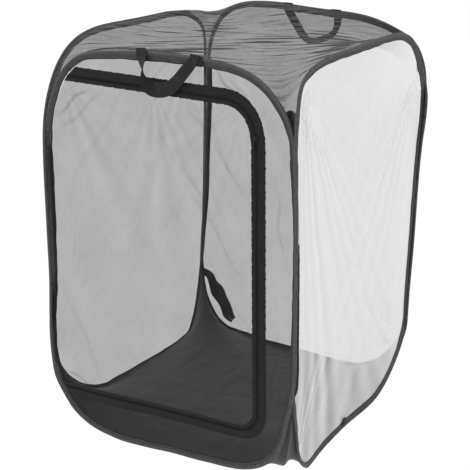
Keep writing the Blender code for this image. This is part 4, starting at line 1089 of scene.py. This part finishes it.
def carryingLoops():
    for end, s in loopSettings.items():
        # twist and width count for little beside the places, so that the keys stay spaced by the band's length
        line = throughPoints(np.column_stack((s["keys"], np.array((s["turns"], s["wide"])).T / 3)) / 1000, 160)
        twist, width = np.radians(line[:, 3] * 3000), line[:, 4] * 3
        y = s["y"] + s["out"] * (0.0059 + line[:, 1] + 0.0110 * np.sin(twist) ** 2)
        path = np.column_stack((line[:, 0], y, line[:, 2]))
        along = unit(np.gradient(path, axis=0))
        outward = np.array((0.0, s["out"], 0.0))
        face = outward * np.cos(twist)[:, None] + np.cross(along, outward) * np.sin(twist)[:, None]
        ribbon(end + "Loop", path, face, width, 0.0015, s["body"], webbing, [s["cad"]])
        for hand in ("left", "right"):
            cad = f"{end}_loop_tab_{hand}"
            low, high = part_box(cad)
            x = (low.x + high.x) / 2
            ridge = hoops[end][hoops[end][:, 1] > 0.75]
            ridge = ridge[np.argsort(ridge[:, 0])]
            top = np.interp(x, ridge[:, 0], ridge[:, 1]) + 0.0012
            # up the hoop's outer face, over its bulge and a little way down inside
            over = np.array(((4.4, -19), (4.4, -12), (4.4, -4), (3.0, -0.7), (0, 0), (-3.0, -0.4))) / 1000
            path = throughPoints([(x, s["y"] + s["out"] * away, top + rise) for away, rise in over], 40)
            slope = np.gradient(path, axis=0)
            face = np.column_stack((np.zeros(40), s["out"] * np.abs(slope[:, 2]) + 1e-6, np.abs(slope[:, 1])))
            name = f"{end}Tab{hand.capitalize()}"
            ribbon(name, path, face, 0.024, 0.0009, s["wall"], webbing, [cad])


carryingLoops()

# x and z of the upper edge, the middle and the lower edge, in millimetres
strapSettings = {
    "top": ((-300.5, 162), (-286.5, 160), (-270, 154), (-257, 136), (-234, 121), (-224, 101), (-211, 78),
            (-198, 48.5), (-192, 40)),
    "middle": ((-300.5, 152.5), (-285.5, 148), (-270, 133), (-259, 113), (-250.6, 93.3), (-242.5, 75.6), (-230, 57),
               (-214, 37), (-199, 29)),
    "foot": ((-300.5, 143), (-282, 134), (-273, 114), (-263, 86), (-252, 75), (-241, 64), (-235, 52), (-225, 30),
             (-203, 22.6)),
}
strapY = 0.3052


def stowStrap():
    # doubled webbing that hangs in a loop from the corner: two bands that part a little in the middle of its length
    lines = {key: throughPoints(np.array(places) / 1000, 120) for key, places in strapSettings.items()}
    share = np.linspace(0, 1, 120)
    gape = 0.0016 * np.exp(-((share - 0.56) / 0.09) ** 2)
    for number, (edge, hand, nodes) in enumerate((("top", 1, ["stow_strap"]), ("foot", -1, []))):
        outer = lines[edge]
        near = lines["middle"] + unit(outer - lines["middle"]) * (gape - 0.0006)[:, None]
        x, z = (near + outer).T / 2
        path = np.column_stack((x, strapY + 0.0006 * hand + 0.0012 * np.sin(share * 9 + number), z))
        face = np.broadcast_to((0.0, 1.0, 0.0), path.shape)
        width = np.linalg.norm(outer - near, axis=1)
        name = "stowStrap" + edge.capitalize()
        ribbon(name, path, face, width, 0.0012, "back_wall", webbing, nodes)


stowStrap()


def blob(name, centre, sizes, power, body, finish, nodes=(), tilt=0.0):
    # a superellipsoid: each axis is a signed power of the usual sine and cosine
    quarterTurn = math.pi / 2
    u, v = np.meshgrid(np.linspace(-math.pi, math.pi, 33), np.linspace(-quarterTurn, quarterTurn, 17), indexing="ij")
    x = sizes[0] / 2 * signedPower(np.cos(v), power) * signedPower(np.cos(u), power)
    y = sizes[1] / 2 * signedPower(np.cos(v), power) * signedPower(np.sin(u), power)
    z = sizes[2] / 2 * signedPower(np.sin(v), power)
    turned = np.stack((x * math.cos(tilt) + z * math.sin(tilt), y, -x * math.sin(tilt) + z * math.cos(tilt)), -1)
    obj = sheetMesh(name, turned + np.array(centre), np.stack((u * sizes[0], v * sizes[2]), -1), weld=True)
    return dress(obj, body, finish, nodes)


def sliderAndPull():
    low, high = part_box("zip_slider")
    x, z = (low.x + high.x) / 2, (low.z + high.z) / 2
    faceY = high.y - 0.0012
    tilt = 0.035
    blob("sliderPlate", (x, high.y - 0.0007, z), (0.0078, 0.0013, 0.0110), 0.45, "slider", enamel, ["zip_slider"], tilt)
    blob("sliderCrown", (x, high.y - 0.0016, z - 0.0015), (0.0056, 0.0014, 0.0070), 0.6, "slider", enamel, (), tilt)
    pullLow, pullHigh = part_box("zip_pull")
    barY = (pullLow.y + pullHigh.y) / 2
    barZ = pullHigh.z - 0.0006
    path = throughPoints(((x, faceY + 0.0004, z - 0.0030), (x, barY - 0.0010, z - 0.0012), (x, barY - 0.0016, barZ),
                          (x, barY, barZ + 0.0020), (x, faceY + 0.0004, z + 0.0046)), 40)
    tube("sliderBridge", path, 0.0007, "slider", enamel, sides=8)
    turn = np.linspace(0, tau, 49)
    eye = np.column_stack((x + 0.0021 * np.sin(turn), np.full(49, barY), barZ - 0.0012 + 0.0020 * np.cos(turn)))[:-1]
    tube("pullEye", eye, 0.0006, "pull", enamel, ["zip_pull"], closed=True, sides=8)
    tag = throughPoints(((x, barY, barZ - 0.0030), (x - 0.0010, barY - 0.0006, barZ - 0.009),
                         (x - 0.0022, barY - 0.0004, barZ - 0.016), (x - 0.0020, barY, barZ - 0.0235)), 40)
    thickness = np.interp(np.linspace(0, 1, 40), (0, 0.5, 0.9, 1), (0.0010, 0.0011, 0.0016, 0.0010))
    tube("pullTag", tag, thickness, "pull", thread, sides=10)


def stopsAndTab():
    for name, cad in (("zipStoptop", "zip_stop_top"), ("zipStopfoot", "zip_stop_foot")):
        low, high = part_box(cad)
        blob(name, tuple((low + high) / 2), tuple(high - low), 0.35, "front_wall", enamel, [cad])
    low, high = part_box("elastic_tab")
    y = (low.y + high.y) / 2
    z = np.linspace(high.z, low.z, 30)
    path = onWall("right", np.full(30, y), z, high.x - rightX - 0.0010 + 0.0005 * np.sin(np.linspace(0, math.pi, 30)))
    face = np.broadcast_to((1.0, 0, 0), path.shape)
    ribbon("elasticTab", path, face, 0.013, 0.0012, "right_wall", elasticFinish, ["elastic_tab"])


sliderAndPull()
stopsAndTab()


# Camera, light and ground
print("camera and light")
viewSettings = {"eye": (1.1482, -1.9028, 1.1847), "turn": (1.84850754, 0.5365006, -0.35094455), "focal": 1032.4,
                "middle": (239.3, 235.8), "frame": 470.0, "sensor": 36.0}
groundZ = -0.0215


def makeCamera():
    # turn is the view's rotation as an axis times its angle, focal and middle are in pixels of the photograph
    s = viewSettings
    turn = np.array(s["turn"])
    angle = np.linalg.norm(turn)
    k = turn / angle
    skew = np.array(((0, -k[2], k[1]), (k[2], 0, -k[0]), (-k[1], k[0], 0)))
    look = np.eye(3) + math.sin(angle) * skew + (1 - math.cos(angle)) * skew @ skew
    data = bpy.data.cameras.new("photoCamera")
    data.sensor_width = s["sensor"]
    data.lens = s["sensor"] * s["focal"] / s["frame"]
    data.shift_x = -(s["middle"][0] - s["frame"] / 2) / s["frame"]
    data.shift_y = (s["middle"][1] - s["frame"] / 2) / s["frame"]
    camera = linked("photoCamera", data)
    turned = Matrix((look[0], -look[1], -look[2])).transposed().to_4x4()
    turned.translation = Vector(s["eye"])
    camera.matrix_world = turned
    bpy.context.scene.camera = camera


def whiteForEye(owner, plain, strength, share):
    # white where the eye, glass or gloss looks, and the plain shader for light and shadow
    rays = node(owner, "LightPath").outputs
    also = calc(owner, "MAXIMUM", rays["Is Glossy Ray"], rays["Is Transmission Ray"])
    seen = calc(owner, "MAXIMUM", rays["Is Camera Ray"], also)
    kind = "Background" if plain.node.type == "BACKGROUND" else "Emission"
    white = node(owner, kind, {"Color": (1, 1, 1, 1), "Strength": strength})
    return node(owner, "MixShader", {0: calc(owner, "MULTIPLY", seen, share), 1: plain, 2: white.outputs[0]}).outputs[0]


def lightAndGround():
    world = bpy.data.worlds.new("studio")
    bpy.context.scene.world = world
    world.use_nodes = True
    tree = world.node_tree
    ambient = tree.nodes["Background"]
    ambient.inputs["Color"].default_value = (1, 1, 1, 1)
    ambient.inputs["Strength"].default_value = 0.75
    tree.links.new(whiteForEye(world, ambient.outputs[0], 1.0, 1.0), tree.nodes["World Output"].inputs["Surface"])
    for name, place, power in (("keyLamp", (-1.8, -2.6, 2.6), 38.0), ("fillLamp", (3.0, -0.6, 1.8), 16.0)):
        data = bpy.data.lights.new(name, "AREA")
        data.size = 2.0
        data.energy = power
        lamp = linked(name, data)
        lamp.location = place
        lamp.rotation_euler = (Vector((0, 0, 0.4)) - Vector(place)).to_track_quat("-Z", "Y").to_euler()
    grid = np.stack(np.meshgrid(np.linspace(-6, 6, 3), np.linspace(-6, 6, 3), (groundZ,), indexing="ij"), -1)[:, :, 0]
    ground = sheetMesh("ground", grid, grid[..., :2])
    mat = newMaterial("paleGround", (0.85, 0.85, 0.85), 0.9)
    tree = mat.node_tree
    output = next(n for n in tree.nodes if n.type == "OUTPUT_MATERIAL")
    plain = tree.nodes["Principled BSDF"].outputs[0]
    tree.links.new(whiteForEye(mat, plain, 1.06, 0.94), output.inputs["Surface"])
    ground.data.materials.append(mat)


makeCamera()
lightAndGround()
bpy.context.scene.view_settings.view_transform = "Standard"
